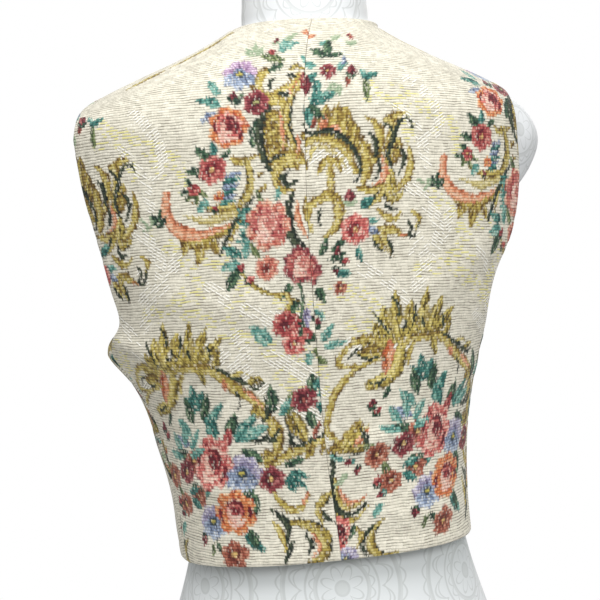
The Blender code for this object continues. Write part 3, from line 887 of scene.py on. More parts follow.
    def ghost(self, points: list[Place], width: float, lean: float) -> None:
        """A faint woven figure in the ground, along a curve.

        Args:
            points: The places that the curve passes through.
            width: The figure's width.
            lean: 1 for light floats that rise to the right, -1 for ones that fall, and 0 for
                yellow flecks along the rows.
        """
        line = curve_through(points, 40)
        found = self.around(line, width)
        if not len(found):
            return
        here = np.stack((self.p[found], self.q[found]), axis=-1)
        away = np.min(np.hypot(here[:, None, 0] - line[None, :, 0],
                               here[:, None, 1] - line[None, :, 1]), axis=1)
        band = smooth_step(away, width / 2 + 1.0, width / 2 - 2.0) * (self.raised[found] < 0.3)
        if lean:
            self.floats[found] = np.where(band > 0.1, lean * band, self.floats[found])
        else:
            self.flecks[found] = np.maximum(self.flecks[found], band)

    def eye(self, x: float, y: float, radius: float) -> None:
        """A light hole in a scroll, ringed with dark thread.

        Args:
            x: Its centre across.
            y: Its centre up.
            radius: Half the hole's width.
        """
        found = self.near(x, y, radius * 1.8)
        dx, dy = (self.p[found] - x) / radius, (self.q[found] - y) / (radius * 1.35)
        away = np.hypot(dx, dy)
        dark = smooth_step(away, 1.5, 1.2) * smooth_step(dx - dy, -0.9, 0.3)
        self.lay(found, dark, self.shade(found, 0.2 + 0.0 * dx, INK))
        self.lay(found, smooth_step(away, 0.9, 0.6), GROUND, 0.2)


class Motif(Enum):
    """The two large figures that share one repeat of the cloth."""

    SPRAY = "spray"
    MEDALLION = "medallion"


class Tapestry:
    """The woven design: sprays of flowers in gold scrolls, over medallions with bouquets."""

    def draw(self, motif: Motif, w: Weaver) -> None:
        """Draws one figure round the weaver's origin.

        Args:
            motif: The figure.
            w: The weaver.
        """
        if motif is Motif.SPRAY:
            self.scrolls_of_spray(w)
            self.wing_of_spray(w)
            self.flowers_of_spray(w)
            self.flowers_by_seam(w)
            self.hanging_sprig(w)
        else:
            self.frame_of_medallion(w)
            self.scrolls_at_foot(w)
            self.bouquet(w)
            self.bouquet_side(w)
            self.sprig_between(w)

    def ghosts(self, w: Weaver) -> None:
        """The faint scrolls and feathers that are woven in the ground.

        Args:
            w: The weaver.
        """
        for line, width, lean in (
            ([(-168, 92), (-148, 70), (-140, 40), (-160, 22)], 13, 1),
            ([(-205, 84), (-182, 62), (-172, 30)], 16, 0),
            ([(-150, 60), (-128, 44), (-120, 16)], 16, 0),
            ([(-176, -20), (-160, -34), (-146, -60), (-150, -84)], 15, -1),
            ([(-170, -70), (-160, -96), (-172, -120)], 14, 1),
            ([(-150, -30), (-122, -58), (-108, -92)], 16, 0),
            ([(-104, -52), (-74, -70), (-66, -100), (-92, -118), (-122, -108)], 18, 0),
            ([(-98, -84), (-86, -92), (-82, -104)], 12, -1),
            ([(-62, -108), (-40, -118), (-16, -116)], 15, -1),
            ([(-74, -134), (-66, -152), (-74, -166)], 14, 1),
            ([(-40, -98), (-14, -108), (10, -104)], 16, 0),
            ([(98, 96), (120, 66), (126, 36)], 12, -1),
            ([(70, 104), (92, 112), (120, 100), (140, 72)], 16, 0),
            ([(56, -66), (86, -84), (104, -112)], 14, -1),
            ([(30, -86), (62, -98), (84, -124)], 20, 0),
            ([(110, -52), (138, -40), (150, -14)], 13, 1),
            ([(116, -70), (146, -62), (170, -40)], 18, 0),
            ([(-84, -128), (-50, -146), (-16, -150), (10, -168)], 20, 0),
            ([(-40, -156), (-14, -168), (8, -190)], 18, -1),
            ([(-92, -150), (-64, -172), (-40, -198)], 15, 1),
            ([(-30, -176), (-10, -190), (14, -184)], 18, 0),
            ([(40, -140), (66, -150), (96, -146)], 16, 1),
            ([(44, -120), (80, -132), (112, -124)], 18, 0),
            ([(-30, -204), (-4, -214), (14, -230)], 16, -1),
        ):
            w.ghost(line, width, lean)

    def scrolls_of_spray(self, w: Weaver) -> None:
        """The gold column, the curls beside it and the coral crescent.

        Args:
            w: The weaver.
        """
        w.leaf(-38, 80, 32, 16, 250, PINE, teeth=3)
        w.stroke([(-32, 94), (-36, 76), (-38, 56), (-38, 42), (-31, 28)], 10, INK, 0.5, 0.3)
        for x, y, length, angle in ((-18, 84, 26, 208), (-20, 72, 26, 216), (-18, 60, 25, 214),
                                    (-14, 50, 26, 200)):
            w.leaf(x, y, length, 14, angle, GOLD, -0.15, teeth=2)
        w.strokes(
            ([(-36, 88), (-41, 72), (-41, 56), (-38, 44), (-30, 28)], 8, INK, 0.5, 0.4),
            ([(-42, 103), (-45, 116), (-39, 127), (-27, 131)], 12, GOLD, 0.7, 0.3),
            ([(-34, 100), (-24, 97), (-15, 90)], 14, GOLD, 0.7, 0.4),
            ([(-32, 107), (-31, 117), (-25, 121)], 3.5, INK, 0.5, 0.3),
            ([(-26, 106), (-15, 110), (-6, 117), (-2, 124), (-12, 119)], 8, GOLD, 0.5, 0.3),
            ([(-22, 103), (-12, 101)], 5, INK, 0.4, 0.4), ([(-14, 123), (-6, 120)], 4, INK, 0.4, 0.4),
            ([(-13, 104), (-4, 115), (0, 126)], 3.5, CORAL, 0.5, 0.4),
            ([(-12, 130), (-4, 133), (2, 130)], 5, GOLD_INK, 0.4, 0.4),
            ([(-18, 90), (-19, 70), (-18, 52)], 9, GOLD, 0.4, 0.7),
            ([(-21, 84), (-19, 66), (-17, 48)], 3.5, CORAL, 0.6, 0.4),
            ([(-2, 113), (-10, 100), (-14, 84), (-13, 68), (-9, 55), (-1, 44)], 7, GOLD, 0.7, 0.8),
            ([(-8, 98), (-11, 80), (-10, 64), (-5, 52)], 2.2, INK, 0.6, 0.5),
            ([(-27, 33), (-13, 42), (1, 37)], 14, GOLD, 0.5, 0.7),
            ([(-30, 36), (-24, 41), (-17, 43)], 3.5, INK, 0.4, 0.3),
            ([(-4, 62), (-3, 50), (-4, 40)], 4, CORAL, 0.3, 0.3),
            ([(-4, 31), (-16, 33), (-25, 22), (-21, 10), (-8, 7)], 8, GOLD, 0.5, 0.4),
            ([(-12, 27), (-18, 20), (-14, 13), (-5, 16)], 6, INK, 0.4, 0.6),
            ([(-23, 8), (-15, 6), (-8, 9)], 3.5, GOLD, 0.4, 0.4),
            ([(-68, 41), (-61, 36), (-53, 39), (-42, 42)], 8, GOLD, 0.4, 0.3),
            ([(-54, 38), (-50, 22), (-53, 4), (-66, -10), (-90, -16)],
             9, GOLD_INK, 0.6, 0.1, 0, 0, True),
        )
        w.leaves(
            (-44, 22, 9, 5, 30, GOLD), (-41, 7, 9, 5, 40, GOLD),
        )
        w.strokes(
            ([(-60, -6), (-84, -8), (-108, 0)], 7, GOLD, 0.6, 0.05),
            ([(-64, -14), (-90, -20), (-116, -12)], 8, STRAW, 0.6, 0.05),
            ([(-122, -30), (-106, -40), (-86, -34), (-66, -24)], 13, GOLD, 0.2, 0.3, 0.5, 3, True),
        )
        w.leaves(
            (-110, -36, 18, 9, 250, GOLD), (-97, -40, 24, 10, 262, GOLD), (-85, -38, 16, 8, 285, GOLD),
        )
        w.strokes(
            ([(-133, 8), (-133, -10), (-122, -26), (-100, -33), (-78, -28), (-62, -22)],
             11, CORAL, 0.6, 0.1),
            ([(-44, 4), (-58, -14), (-70, -34), (-78, -54)], 4.5, INK, 0.4, 0.6),
            ([(-50, -10), (-64, -30), (-70, -50)], 3.5, GOLD, 0.4, 0.4),
            ([(-8, 4), (-13, -16), (-9, -36), (4, -52)], 11, INK, 0.3, 0.6),
            ([(-3, -4), (-2, -22), (7, -40)], 5, CORAL),
        )

    def wing_of_spray(self, w: Weaver) -> None:
        """The arch, the ring scroll and the acanthus wing to the viewer's right.

        Args:
            w: The weaver.
        """
        w.stroke([(54, 68), (62, 52), (65, 36), (62, 20)], 11, GOLD, 0.4, 0.6, 0.3, 5)
        for x, y, length, width, angle in ((20, 66, 32, 15, 81), (33, 62, 36, 17, 86),
                                           (46, 54, 42, 17, 94), (51, 46, 32, 12, 84)):
            w.leaf(x, y, length, width, angle, GOLD, teeth=3)
        w.leaves(
            (20, 71, 18, 9, 82, CORAL), (28, 76, 17, 9, 322, CORAL), (8, 72, 15, 5, 66, RUST),
        )
        w.strokes(
            ([(2, 60), (16, 64), (30, 60), (42, 52), (50, 39), (55, 26)], 9, GOLD, 0.7, 0.5),
            ([(4, 52), (16, 56), (28, 52), (37, 45), (44, 34)], 4, STRAW, 0.5, 0.4),
            ([(7, 44), (10, 53), (19, 57)], 4, OLIVE, 0.5, 0.3),
        )
        w.ghost([(2, 38), (10, 47), (23, 48), (34, 45), (42, 38), (49, 30)], 12, 1)
        w.stroke([(2, 72), (10, 68), (22, 71), (34, 68), (45, 60), (53, 48), (58, 37), (58, 27)],
                 5.5, INK, 0.5, 0.5)
        w.eye(54, 25, 3.0)
        w.strokes(
            ([(18, 30), (20, 38), (28, 43), (36, 39), (39, 31)], 8, GOLD, 0.4, 0.3),
            ([(28, 38), (29, 22), (31, 8)], 7, GOLD, 0.7, 0.9),
            ([(24, 9), (34, 4), (38, -9), (35, -23), (25, -33)], 10, GOLD, 0.7, 0.4),
            ([(32, 4), (17, 4), (7, -5), (6, -18), (12, -27)], 9, GOLD, 0.6, 0.3, 0, 0, True),
            ([(20, -5), (17, -13), (19, -22)], 4, INK, 0.3, 0.3),
            ([(62, 84), (72, 77), (78, 64), (76, 50), (72, 38)], 8, GOLD, 0.2, 0.7, 0.4, 4),
            ([(66, 67), (72, 62), (74, 54), (74, 45)], 6, INK, 0.4, 0.7),
            ([(84, 80), (94, 84), (105, 87)], 9, GOLD, 0.7, 0.2),
            ([(88, 82), (91, 70), (88, 58), (82, 50)], 9, GOLD, 0.6, 0.4),
        )
        w.leaf(86, 34, 32, 19, 68, GOLD, teeth=3)
        w.strokes(
            ([(111, 74), (108, 81), (100, 80), (95, 72), (92, 62), (88, 52), (86, 44), (89, 36),
             (91, 28), (88, 18)], 4.5, INK, 0.5, 0.5),
            ([(82, 76), (88, 72), (91, 66)], 4, INK, 0.4, 0.5),
            ([(96, 52), (102, 46), (102, 36), (97, 26)], 4.5, INK, 0.3, 0.4),
            ([(107, 54), (110, 40), (107, 24), (99, 14), (92, 8)], 8, GOLD, 0.3, 0.6),
        )
        w.leaf(88, 8, 24, 13, 86, OLIVE)
        w.strokes(
            ([(76, 42), (78, 33), (76, 24), (72, 20)], 4, INK, 0.4, 0.3),
            ([(80, 42), (84, 31), (80, 20), (70, 15)], 6, CORAL, 0.3, 0.3),
            ([(56, 13), (70, 11), (84, 17)], 8, GOLD, 0.4, 0.3),
            ([(82, 12), (88, 2), (97, 3), (103, 10)], 8, GOLD_INK, 0.4, 0.3, 0, 0, True),
            ([(83, -2), (88, -8), (96, -9)], 4, INK, 0.4, 0.3),
            ([(68, -6), (76, 3), (84, 14)], 7, GOLD, 0.3, 0.5),
            ([(72, 2), (77, 11)], 3.5, INK, 0.6, 0.3),
            ([(76, -8), (84, -15), (94, -18), (101, -11)], 7, GOLD, 0.4, 0.3),
            ([(112, -10), (119, -18), (116, -28)], 6, GOLD, 0.4, 0.3),
            ([(107, -20), (111, -28), (108, -35), (115, -35), (118, -24)], 3.5, INK, 0.5, 0.4),
            ([(78, -27), (92, -30), (107, -38)], 8, GOLD, 0.4, 0.2, 0.4, 3),
            ([(99, -34), (108, -38)], 3.5, CORAL),
            ([(80, -28), (85, -40), (92, -55)], 7, GOLD, 0.5, 0.2),
            ([(73, -28), (76, -38), (84, -50)], 7, GOLD, 0.5, 0.2),
            ([(72, -39), (76, -45), (82, -51)], 3.5, INK, 0.5, 0.4),
            ([(86, -37), (91, -46), (91, -55)], 3.5, INK, 0.5, 0.4),
        )

    def flowers_of_spray(self, w: Weaver) -> None:
        """The garland down the viewer's left of the column.

        Args:
            w: The weaver.
        """
        w.spray(-50, 146, 24, 82, MIST)
        w.bud(-25, 167, 4.5, 80, WINE, MIST)
        w.bud(-30, 150, 6, 78, ROSE, MOSS)
        w.leaves(
            (-20, 150, 26, 10, 70, SEA), (-22, 156, 22, 9, 20, SEA), (-16, 166, 17, 7, 44, MIST),
            (-17, 140, 26, 9, 160, MOSS), (-18, 136, 18, 8, 205, PINE), (-80, 92, 22, 9, 150, SEA),
            (-82, 98, 24, 9, 174, TEAL), (-82, 104, 22, 9, 122, SEA), (-84, 86, 18, 8, 205, SKY),
            (-66, 92, 16, 6, 60, PINE),
        )
        w.anemone(-62, 127, 18, 10, ORCHID)
        w.bud(-68, 101, 5.5, 88, WINE)
        w.blossom(-45, 95, 13, WINE, 6, eye=(170, 168, 110))
        w.rose(-72, 71, 19, FLAME, ROSE, 1.1, inner=PINK)
        w.leaves(
            (-90, 38, 22, 10, 134, PINE), (-96, 28, 18, 8, 172, PINE), (-86, 42, 16, 8, 96, TEAL),
            (-80, 40, 15, 6, 38, PINE),
        )
        w.blossom(-87, 30, 14, ROSE, 6)
        for angle in (128, 190, 236, 284, 330):
            w.leaf(-105, 12, 16, 6, angle, MOSS if angle > 200 else PINE)
        w.blossom(-105, 12, 6.5, ROSE)
        for rise in range(6):
            w.leaf(-80 + rise, -4 + 5.2 * rise, 17, 5.5, 14, SKY if rise % 2 else TEAL)
        w.leaf(-92, 2, 15, 9, 236, SEA)
        w.blossom(-80, 4, 5.5, FLAME)
        w.bud(-84, -8, 3.8, 88, ROSE)
        w.spray(-143, -24, 20, 76, PINE)
        w.spray(-147, -22, 18, 150, MIST, 1)
        for fall in range(6):
            w.leaf(-46, -12 - 6.0 * fall, 17, 6.0, 176, SEA if fall % 2 else TEAL)
        w.leaves(
            (-38, -2, 14, 6, 116, MOSS), (-24, -2, 14, 6, 76, SEA),
        )
        w.rose(-32, -26, 22, SALMON, BLUSH, 1.15, inner=ROSE)

    def flowers_by_seam(self, w: Weaver) -> None:
        """The small flowers and leaves over the arch.

        Args:
            w: The weaver.
        """
        w.leaves(
            (0, 178, 17, 7, 4, CORAL), (30, 172, 15, 7, 40, MIST), (46, 168, 15, 7, 20, MIST),
        )
        w.blossom(52, 181, 4.5, ROSE, 4)
        w.leaves(
            (18, 165, 15, 7, 28, SEA), (25, 148, 26, 10, 84, PINE), (24, 150, 20, 9, 144, PINE),
            (28, 150, 15, 6, 18, PINE), (14, 130, 17, 9, 218, TEAL), (14, 138, 17, 8, 160, SEA),
            (15, 124, 18, 9, 262, TEAL), (36, 134, 16, 7, 52, SEA), (42, 140, 12, 5, 82, SKY),
        )
        w.blossom(26, 133, 8.5, WINE, 6)
        w.leaf(47, 128, 12, 6, 262, RUST)
        w.bud(50, 132, 7.5, 82, WINE)
        w.leaves(
            (58, 136, 16, 6, 304, SEA), (61, 124, 20, 8, 24, TEAL), (64, 124, 26, 7, 272, MOSS),
        )
        w.spray(36, 120, 18, 246, MIST)
        w.leaves(
            (6, 100, 28, 13, 18, TEAL, 0, 3), (4, 96, 22, 10, 326, PINE), (4, 94, 20, 9, 280, TEAL),
            (2, 106, 24, 10, 84, WINE), (58, -6, 18, 10, 34, TEAL), (64, -18, 15, 7, 352, SEA),
            (66, -26, 15, 7, 336, SKY), (44, -36, 18, 7, 222, PINE), (56, -44, 18, 7, 288, TEAL),
        )
        w.bud(48, 3, 8, 92, WINE, MIST)
        w.blossom(54, -27, 15, PINK, 6)

    def hanging_sprig(self, w: Weaver) -> None:
        """The flowers under the spray and the sprig that hangs below them.

        Args:
            w: The weaver.
        """
        w.stroke([(-58, -70), (-46, -84), (-24, -96), (0, -100)], 4.5, GOLD_INK, 0.4, 0.4)
        w.leaves(
            (-58, -56, 20, 10, 152, TEAL), (-58, -62, 20, 10, 196, SEA), (-60, -68, 24, 11, 242, PINE),
            (-54, -58, 18, 8, 84, SEA),
        )
        w.bud(-58, -68, 5.5, 60, ROSE)
        w.bud(-50, -80, 5.5, 30, PINK)
        w.leaves(
            (-40, -58, 18, 7, 120, MOSS), (20, -52, 20, 8, 70, PINE), (28, -58, 20, 8, 30, PINE),
            (34, -68, 18, 8, 350, TEAL), (16, -82, 20, 8, 300, PINE), (-8, -84, 18, 8, 240, PINE),
        )
        w.blossom(-32, -68, 12, SALMON, 6, eye=(96, 40, 40))
        w.bud(36, -50, 5, 80, WINE)
        w.bud(44, -58, 4.5, 20, ROSE)
        w.bud(36, -66, 4.5, 300, WINE)
        w.rose(2, -66, 18.5, WINE, BLUSH, inner=ROSE)
        w.stroke([(-26, -95), (-12, -95), (-8, -104), (-15, -111)], 5, GOLD, 0.4, 0.4)
        w.blossom(40, -84, 7, RUST)
        w.stroke([(0, -84), (4, -104), (0, -124), (-8, -140)], 3.5, PINE, 0.7, 0.5)
        w.leaves(
            (8, -108, 26, 9, 268, LILAC), (2, -100, 22, 8, 230, PINE), (14, -104, 16, 7, 320, SEA),
            (4, -120, 18, 7, 262, PINE), (-26, -142, 28, 14, 142, SEA, 0, 3),
        )
        w.blossom(-12, -124, 14, ROSE, 6, eye=(90, 30, 40))
        w.blossom(-4, -144, 12, PINK, 5)
        w.bud(10, -136, 8, 120, ROSE)
        w.bud(18, -118, 5.5, 88, WINE)
        w.leaves(
            (22, -136, 22, 8, 54, SEA), (24, -142, 24, 8, 12, SEA), (14, -150, 18, 8, 330, MOSS),
            (12, -152, 16, 8, 262, SEA),
        )

    def frame_of_medallion(self, w: Weaver) -> None:
        """The acanthus crown and the arch on either side of it.

        Args:
            w: The weaver.
        """
        crown = ((-88, 82, 38, 12, 134), (-84, 86, 44, 15, 119), (-79, 88, 54, 14, 105),
                 (-72, 90, 40, 14, 94), (-60, 92, 34, 10, 114), (-54, 92, 50, 13, 97),
                 (-48, 92, 42, 13, 80), (-42, 94, 34, 11, 58), (-28, 90, 22, 8, 84))
        for number, (x, y, length, width, angle) in enumerate(crown):
            w.leaf(x, y, length, width, angle, OLIVE, 0.12, teeth=2 + number % 2)
        w.leaf(-96, 84, 30, 12, 168, OLIVE, teeth=3)
        for x, y, length, angle in ((-88, 92, 30, 112), (-78, 96, 28, 96), (-56, 98, 30, 92)):
            w.leaf(x, y, length, 4.5, angle, STRAW)
        for line in ([(-96, 134), (-88, 122), (-86, 112)], [(-70, 124), (-69, 112), (-73, 100)],
                     [(-114, 118), (-102, 104), (-94, 94)], [(-38, 116), (-34, 100)],
                     [(-62, 112), (-56, 100)], [(-118, 92), (-108, 88), (-98, 90)]):
            w.stroke(line, 2.8, INK, 0.5, 0.4)
        w.eye(-82, 106, 3.6)
        w.strokes(
            ([(-112, 88), (-100, 90), (-90, 84)], 6, OLIVE, 0.3, 0.5, 0.3, 3),
            ([(-80, 88), (-80, 72), (-85, 58), (-96, 49), (-108, 46)], 16, OLIVE, 0.4, 0.6),
            ([(-92, 52), (-102, 46), (-110, 48)], 3, INK, 0.4, 0.4),
        )
        w.leaves(
            (-93, 90, 36, 13, 270, CORAL), (-95, 88, 26, 5, 270, FLAME),
        )
        w.strokes(
            ([(-70, 66), (-70, 78), (-63, 89)], 6, GOLD, 0.5, 0.5),
            ([(-78, 86), (-65, 92), (-50, 91), (-37, 91), (-24, 84), (-8, 70), (8, 60), (22, 44),
             (33, 28), (37, 8), (28, -8)], 10, GOLD, 0.5, 0.5),
            ([(14, 50), (27, 38), (35, 22), (36, 6), (26, -6)], 12, GOLD, 0.3, 0.3),
            ([(-2, 70), (8, 62), (18, 52)], 4.5, CORAL, 0.3, 0.3),
            ([(-35, 93), (-24, 89), (-12, 82), (2, 75), (11, 70), (18, 75)], 4.5, INK, 0.4, 0.4),
            ([(-12, 84), (-4, 86), (2, 84)], 5, OLIVE, 0.4, 0.3),
        )
        w.leaf(2, 76, 16, 8, 10, OLIVE)
        w.stroke([(-8, 68), (-3, 58), (-4, 50)], 2.2, INK, 0.5, 0.3)
        w.leaves(
            (-46, 92, 22, 8, 292, OLIVE), (-22, 80, 14, 6, 300, CORAL),
        )
        w.strokes(
            ([(20, 60), (25, 46), (20, 34)], 6, INK, 0.2, 0.3),
            ([(10, 18), (20, 16), (28, 27)], 5, INK, 0.2, 0.2),
        )
        w.leaf(16, 54, 20, 9, 250, GOLD)
        w.strokes(
            ([(-98, 72), (-122, 64), (-139, 46), (-146, 22), (-145, 2), (-128, -12)], 7, GOLD, 0.4, 0.7),
            ([(-142, 76), (-132, 88), (-116, 93), (-100, 86)], 7, GOLD, 0.3, 0.5, 0.4, 4),
        )
        w.leaf(-98, 78, 28, 15, 178, GOLD, teeth=4)
        w.strokes(
            ([(-102, 74), (-114, 72), (-124, 76)], 3, INK, 0.3, 0.3),
            ([(-134, 72), (-128, 80), (-120, 84)], 3, INK, 0.3, 0.3),
            ([(-126, 66), (-140, 66), (-144, 74), (-136, 80)], 6, GOLD, 0.4, 0.4),
        )
        w.leaves(
            (-130, -22, 40, 18, 62, GOLD, 0, 3), (-126, -20, 34, 12, 50, OLIVE, 0, 2),
            (-118, -14, 24, 6, 50, CORAL), (-120, -20, 22, 10, 20, GOLD_INK),
        )
        w.stroke([(-112, 2), (-106, -8), (-104, -14)], 6, INK, 0.5, 0.3)
        w.leaf(-108, -14, 18, 7, 350, MOSS)
        w.stroke([(-136, -20), (-134, -34)], 7, INK, 0.6, 0.5)
        w.leaf(-128, -12, 18, 9, 200, GOLD)

    def scrolls_at_foot(self, w: Weaver) -> None:
        """The scrolls and the dark crescent under the medallion.

        Args:
            w: The weaver.
        """
        w.leaf(34, 4, 22, 13, 205, GOLD, teeth=2)
        w.strokes(
            ([(22, 16), (31, 18), (37, 30)], 6, INK, 0.2, 0.2),
            ([(34, -8), (50, 4), (66, 11), (84, 20)], 10, GOLD, 0.4, 0.6, 0.3, 4),
        )
        w.leaves(
            (70, 12, 17, 7, 250, GOLD), (80, 15, 14, 6, 262, GOLD),
        )
        w.stroke([(46, 24), (53, 11), (66, 16), (78, 21), (84, 26)], 4.5, INK, 0.4, 0.5)
        w.leaves(
            (42, 46, 40, 16, 304, GOLD_INK), (69, 18, 18, 6, 74, RUST),
        )
        w.strokes(
            ([(34, -34), (41, -45), (50, -52), (60, -52), (66, -38)], 7, GOLD, 0.4, 0.5),
            ([(61, -49), (66, -37)], 4, CORAL, 0.4, 0.5),
            ([(94, -34), (82, -43), (76, -55), (80, -66)], 8, GOLD_INK, 0.5, 0.3),
            ([(81, -55), (84, -62), (92, -67)], 3.5, INK, 0.4, 0.3),
            ([(34, -64), (43, -79), (48, -96)], 6, GOLD, 0.4, 0.5),
            ([(50, -66), (66, -68), (78, -77), (84, -90), (79, -102), (67, -105)],
             12, GOLD_INK, 0.4, 0.3, 0.2, 5),
            ([(64, -77), (71, -87), (67, -98)], 5, INK, 0.4, 0.4),
            ([(70, -76), (78, -90), (72, -101)], 4, CORAL, 0.4, 0.4),
            ([(32, -52), (42, -60), (48, -71), (47, -86)], 6, INK, 0.3, 0.5),
            ([(53, -84), (49, -96), (46, -106)], 4.5, INK, 0.5, 0.6),
            ([(-76, -90), (-84, -100), (-84, -114), (-72, -124), (-50, -122)], 9, GOLD_INK, 0.3, 0.1),
            ([(-84, -94), (-92, -104), (-92, -116), (-84, -126)], 4.5, INK, 0.4, 0.4),
            ([(-102, -95), (-95, -104), (-98, -114)], 6, GOLD, 0.3, 0.4),
            ([(-128, -75), (-116, -86), (-103, -87), (-94, -74)], 6, GOLD, 0.3, 0.3),
            ([(-129, -47), (-125, -60), (-116, -69), (-105, -71), (-96, -64)], 7, CORAL, 0.3, 0.3),
            ([(-130, -44), (-128, -58), (-122, -69), (-112, -75), (-98, -68)], 6, GOLD, 0.3, 0.3),
            ([(-134, -39), (-133, -56), (-128, -69), (-119, -79), (-107, -82), (-95, -71)],
             6, INK, 0.8, 0.4),
        )
        w.rose(-120, -100, 14, PINK, WINE, 1.3)
        w.blossom(-131, -122, 9, WINE)
        w.leaves(
            (-104, -92, 16, 6, 262, PINE), (-132, -106, 18, 7, 250, PINE),
        )
        w.anemone(-108, -126, 13)

    def bouquet(self, w: Weaver) -> None:
        """The roses and anemones in the medallion.

        Args:
            w: The weaver.
        """
        w.spray(-48, 44, 32, 106, TEAL, 2, 0.5)
        w.leaves(
            (-40, 36, 30, 11, 84, PINE), (-54, 34, 30, 11, 112, PINE), (-34, 32, 28, 10, 60, TEAL),
            (-24, 20, 26, 13, 118, TEAL, 0, 3), (-12, 20, 26, 12, 78, PINE),
            (-4, 16, 32, 14, 58, TEAL, 0, 3), (0, 18, 30, 12, 28, SEA, 0, 3), (2, 8, 26, 11, 330, PINE),
            (-56, 22, 26, 11, 140, SEA), (-58, 12, 26, 10, 160, SKY), (-58, 2, 24, 10, 182, PINE),
            (-60, -10, 20, 9, 208, TEAL), (8, -30, 26, 12, 300, PINE, 0, 3),
            (18, -38, 28, 13, 254, PINE, 0, 3), (-28, -32, 26, 11, 206, TEAL),
            (-34, -34, 22, 10, 166, PINE), (-14, 10, 22, 10, 80, ROSE),
        )
        w.blossom(-52, -4, 12, RUST, 6)
        w.blossom(-46, -40, 12, RUST, 5)
        w.blossom(32, -22, 13, WINE, 6)
        w.anemone(4, -16, 19)
        w.rose(-28, -5, 22, PINK, ROSE, 1.4)
        w.leaves(
            (6, -76, 28, 11, 318, TEAL), (12, -72, 22, 9, 290, PINE),
        )
        w.anemone(-28, -66, 18, 20)
        w.rose(-3, -54, 21, FLAME, PINK, 1.12, 30)
        w.blossom(-4, -98, 15, RUST, 5)
        w.bud(-42, -84, 6, 262, WINE)
        w.leaves(
            (-28, -88, 14, 6, 260, MOSS), (-24, -86, 12, 6, 300, PINE), (44, -8, 20, 8, 16, PINE),
        )
        w.spray(46, -16, 26, 322, TEAL, 3)

    def bouquet_side(self, w: Weaver) -> None:
        """The small flowers to the viewer's left of the bouquet.

        Args:
            w: The weaver.
        """
        for x, y, angle in ((-70, 6, 132), (-64, 12, 98), (-56, 8, 64), (-70, -2, 168), (-58, 0, 22)):
            w.leaf(x, y, 24, 9, angle, SEA)
        w.blossom(-91, -25, 13, RUST, 6)
        w.leaf(-84, -32, 18, 7, 300, MOSS)
        w.blossom(-64, -16, 13, WINE, 6)
        w.leaves(
            (-62, -38, 22, 9, 20, TEAL), (-60, -44, 20, 9, 330, TEAL),
        )
        w.blossom(-72, -52, 12, RUST, 6)
        w.bud(-103, 26, 6, 96, WINE)
        w.bud(-97, 18, 5, 60, ROSE)
        w.leaf(-92, 30, 16, 6, 70, PINE)
        w.bud(-118, -30, 5, 200, WINE, SEA)
        w.bud(-108, -38, 4.5, 250, WINE)
        w.leaves(
            (-124, -28, 16, 6, 160, SEA), (-118, -40, 18, 7, 230, MIST),
        )
        w.bud(-86, -52, 6, 100, ROSE)
        w.bud(-80, -64, 5, 200, WINE, SEA)
        w.leaf(-78, -72, 18, 8, 240, SEA)

    def sprig_between(self, w: Weaver) -> None:
        """The dark flower and its leaves between two medallions.

        Args:
            w: The weaver.
        """
        w.leaves(
            (30, 46, 28, 11, 102, PINE), (42, 42, 26, 10, 80, MOSS), (36, 42, 20, 8, 62, SEA),
        )
        for x, y, angle in ((64, 64, 96), (66, 66, 58), (68, 60, 14), (68, 52, 334), (62, 46, 292)):
            w.leaf(x, y, 20, 10, angle, TEAL if angle % 4 else PINE)
        w.blossom(57, 57, 12.5, WINE, 6, eye=(176, 96, 84))


@dataclass(frozen=True)
class Stamp:
    """One figure of the design on a wall.

    Attributes:
        motif: Which figure.
        at: A place on the wall, sideways and up, in metres.
        part: The place in the figure, in its own units, that lies there.
        repeats: How many repeats of the cloth further to the viewer's right it is drawn.
        lean: How far it leans to the viewer's right over that place and how far to the left
            under it, as shares.
        wide: How far the cloth is spread to the viewer's left and right of that place.
    """

    motif: Motif
    at: Place
    part: Place
    repeats: int = 0
    lean: Pair = (0.0, 0.0)
    wide: Pair = (1.0, 1.0)


@dataclass(frozen=True)
class Fold:
    """One soft ridge or trough in the cloth.

    Attributes:
        start: Where it starts, sideways and up, in metres.
        end: Where it ends.
        width: Half its width, in metres.
        height: How far it stands out, or lies in where it is negative, in metres.
        bow: How far its middle bends aside, in metres.
    """

    start: Place
    end: Place
    width: float
    height: float
    bow: float = 0.0

    def lift(self, x: Array, z: Array) -> Array:
        """How far the fold moves the cloth.

        Args:
            x: The sideways places, in metres.
            z: The heights, in metres.

        Returns:
            How far out the cloth moves there, in metres.
        """
        run = np.array(self.end) - np.array(self.start)
        length = float(np.hypot(*run))
        along = ((x - self.start[0]) * run[0] + (z - self.start[1]) * run[1]) / length**2
        aside = ((z - self.start[1]) * run[0] - (x - self.start[0]) * run[1]) / length
        aside = aside - self.bow * 4.0 * along * (1.0 - along)
        ends = smooth_step(along, -0.12, 0.30) * smooth_step(along, 1.12, 0.65)
        return self.height * np.exp(-((aside / self.width) ** 2)) * ends


@dataclass(frozen=True)
class Relief:
    """How far the cloth's edges, seam and woven figures stand out, in metres.

    Attributes:
        turned_edge: The height of the turned edge, which is doubled cloth.
        turned_width: Where that height ends, from the edge, and where it is whole.
        rim: How far the very edge falls.
        rim_width: Over what width it falls.
        seam_rim: The share of that fall at the centre-back seam.
        pucker: The height of the puckers beside that seam.
        pucker_width: How far from the seam they reach.
        groove: The depth of the seam's groove.
        groove_width: Half the groove's width.
        figure: The height of the woven figures.
    """

    turned_edge: float = 0.0004
    turned_width: Pair = (0.0115, 0.0085)
    rim: float = 0.0011
    rim_width: float = 0.0026
    seam_rim: float = 0.45
    pucker: float = 0.00022
    pucker_width: float = 0.007
    groove: float = 0.0005
    groove_width: float = 0.0035
    figure: float = 0.00026


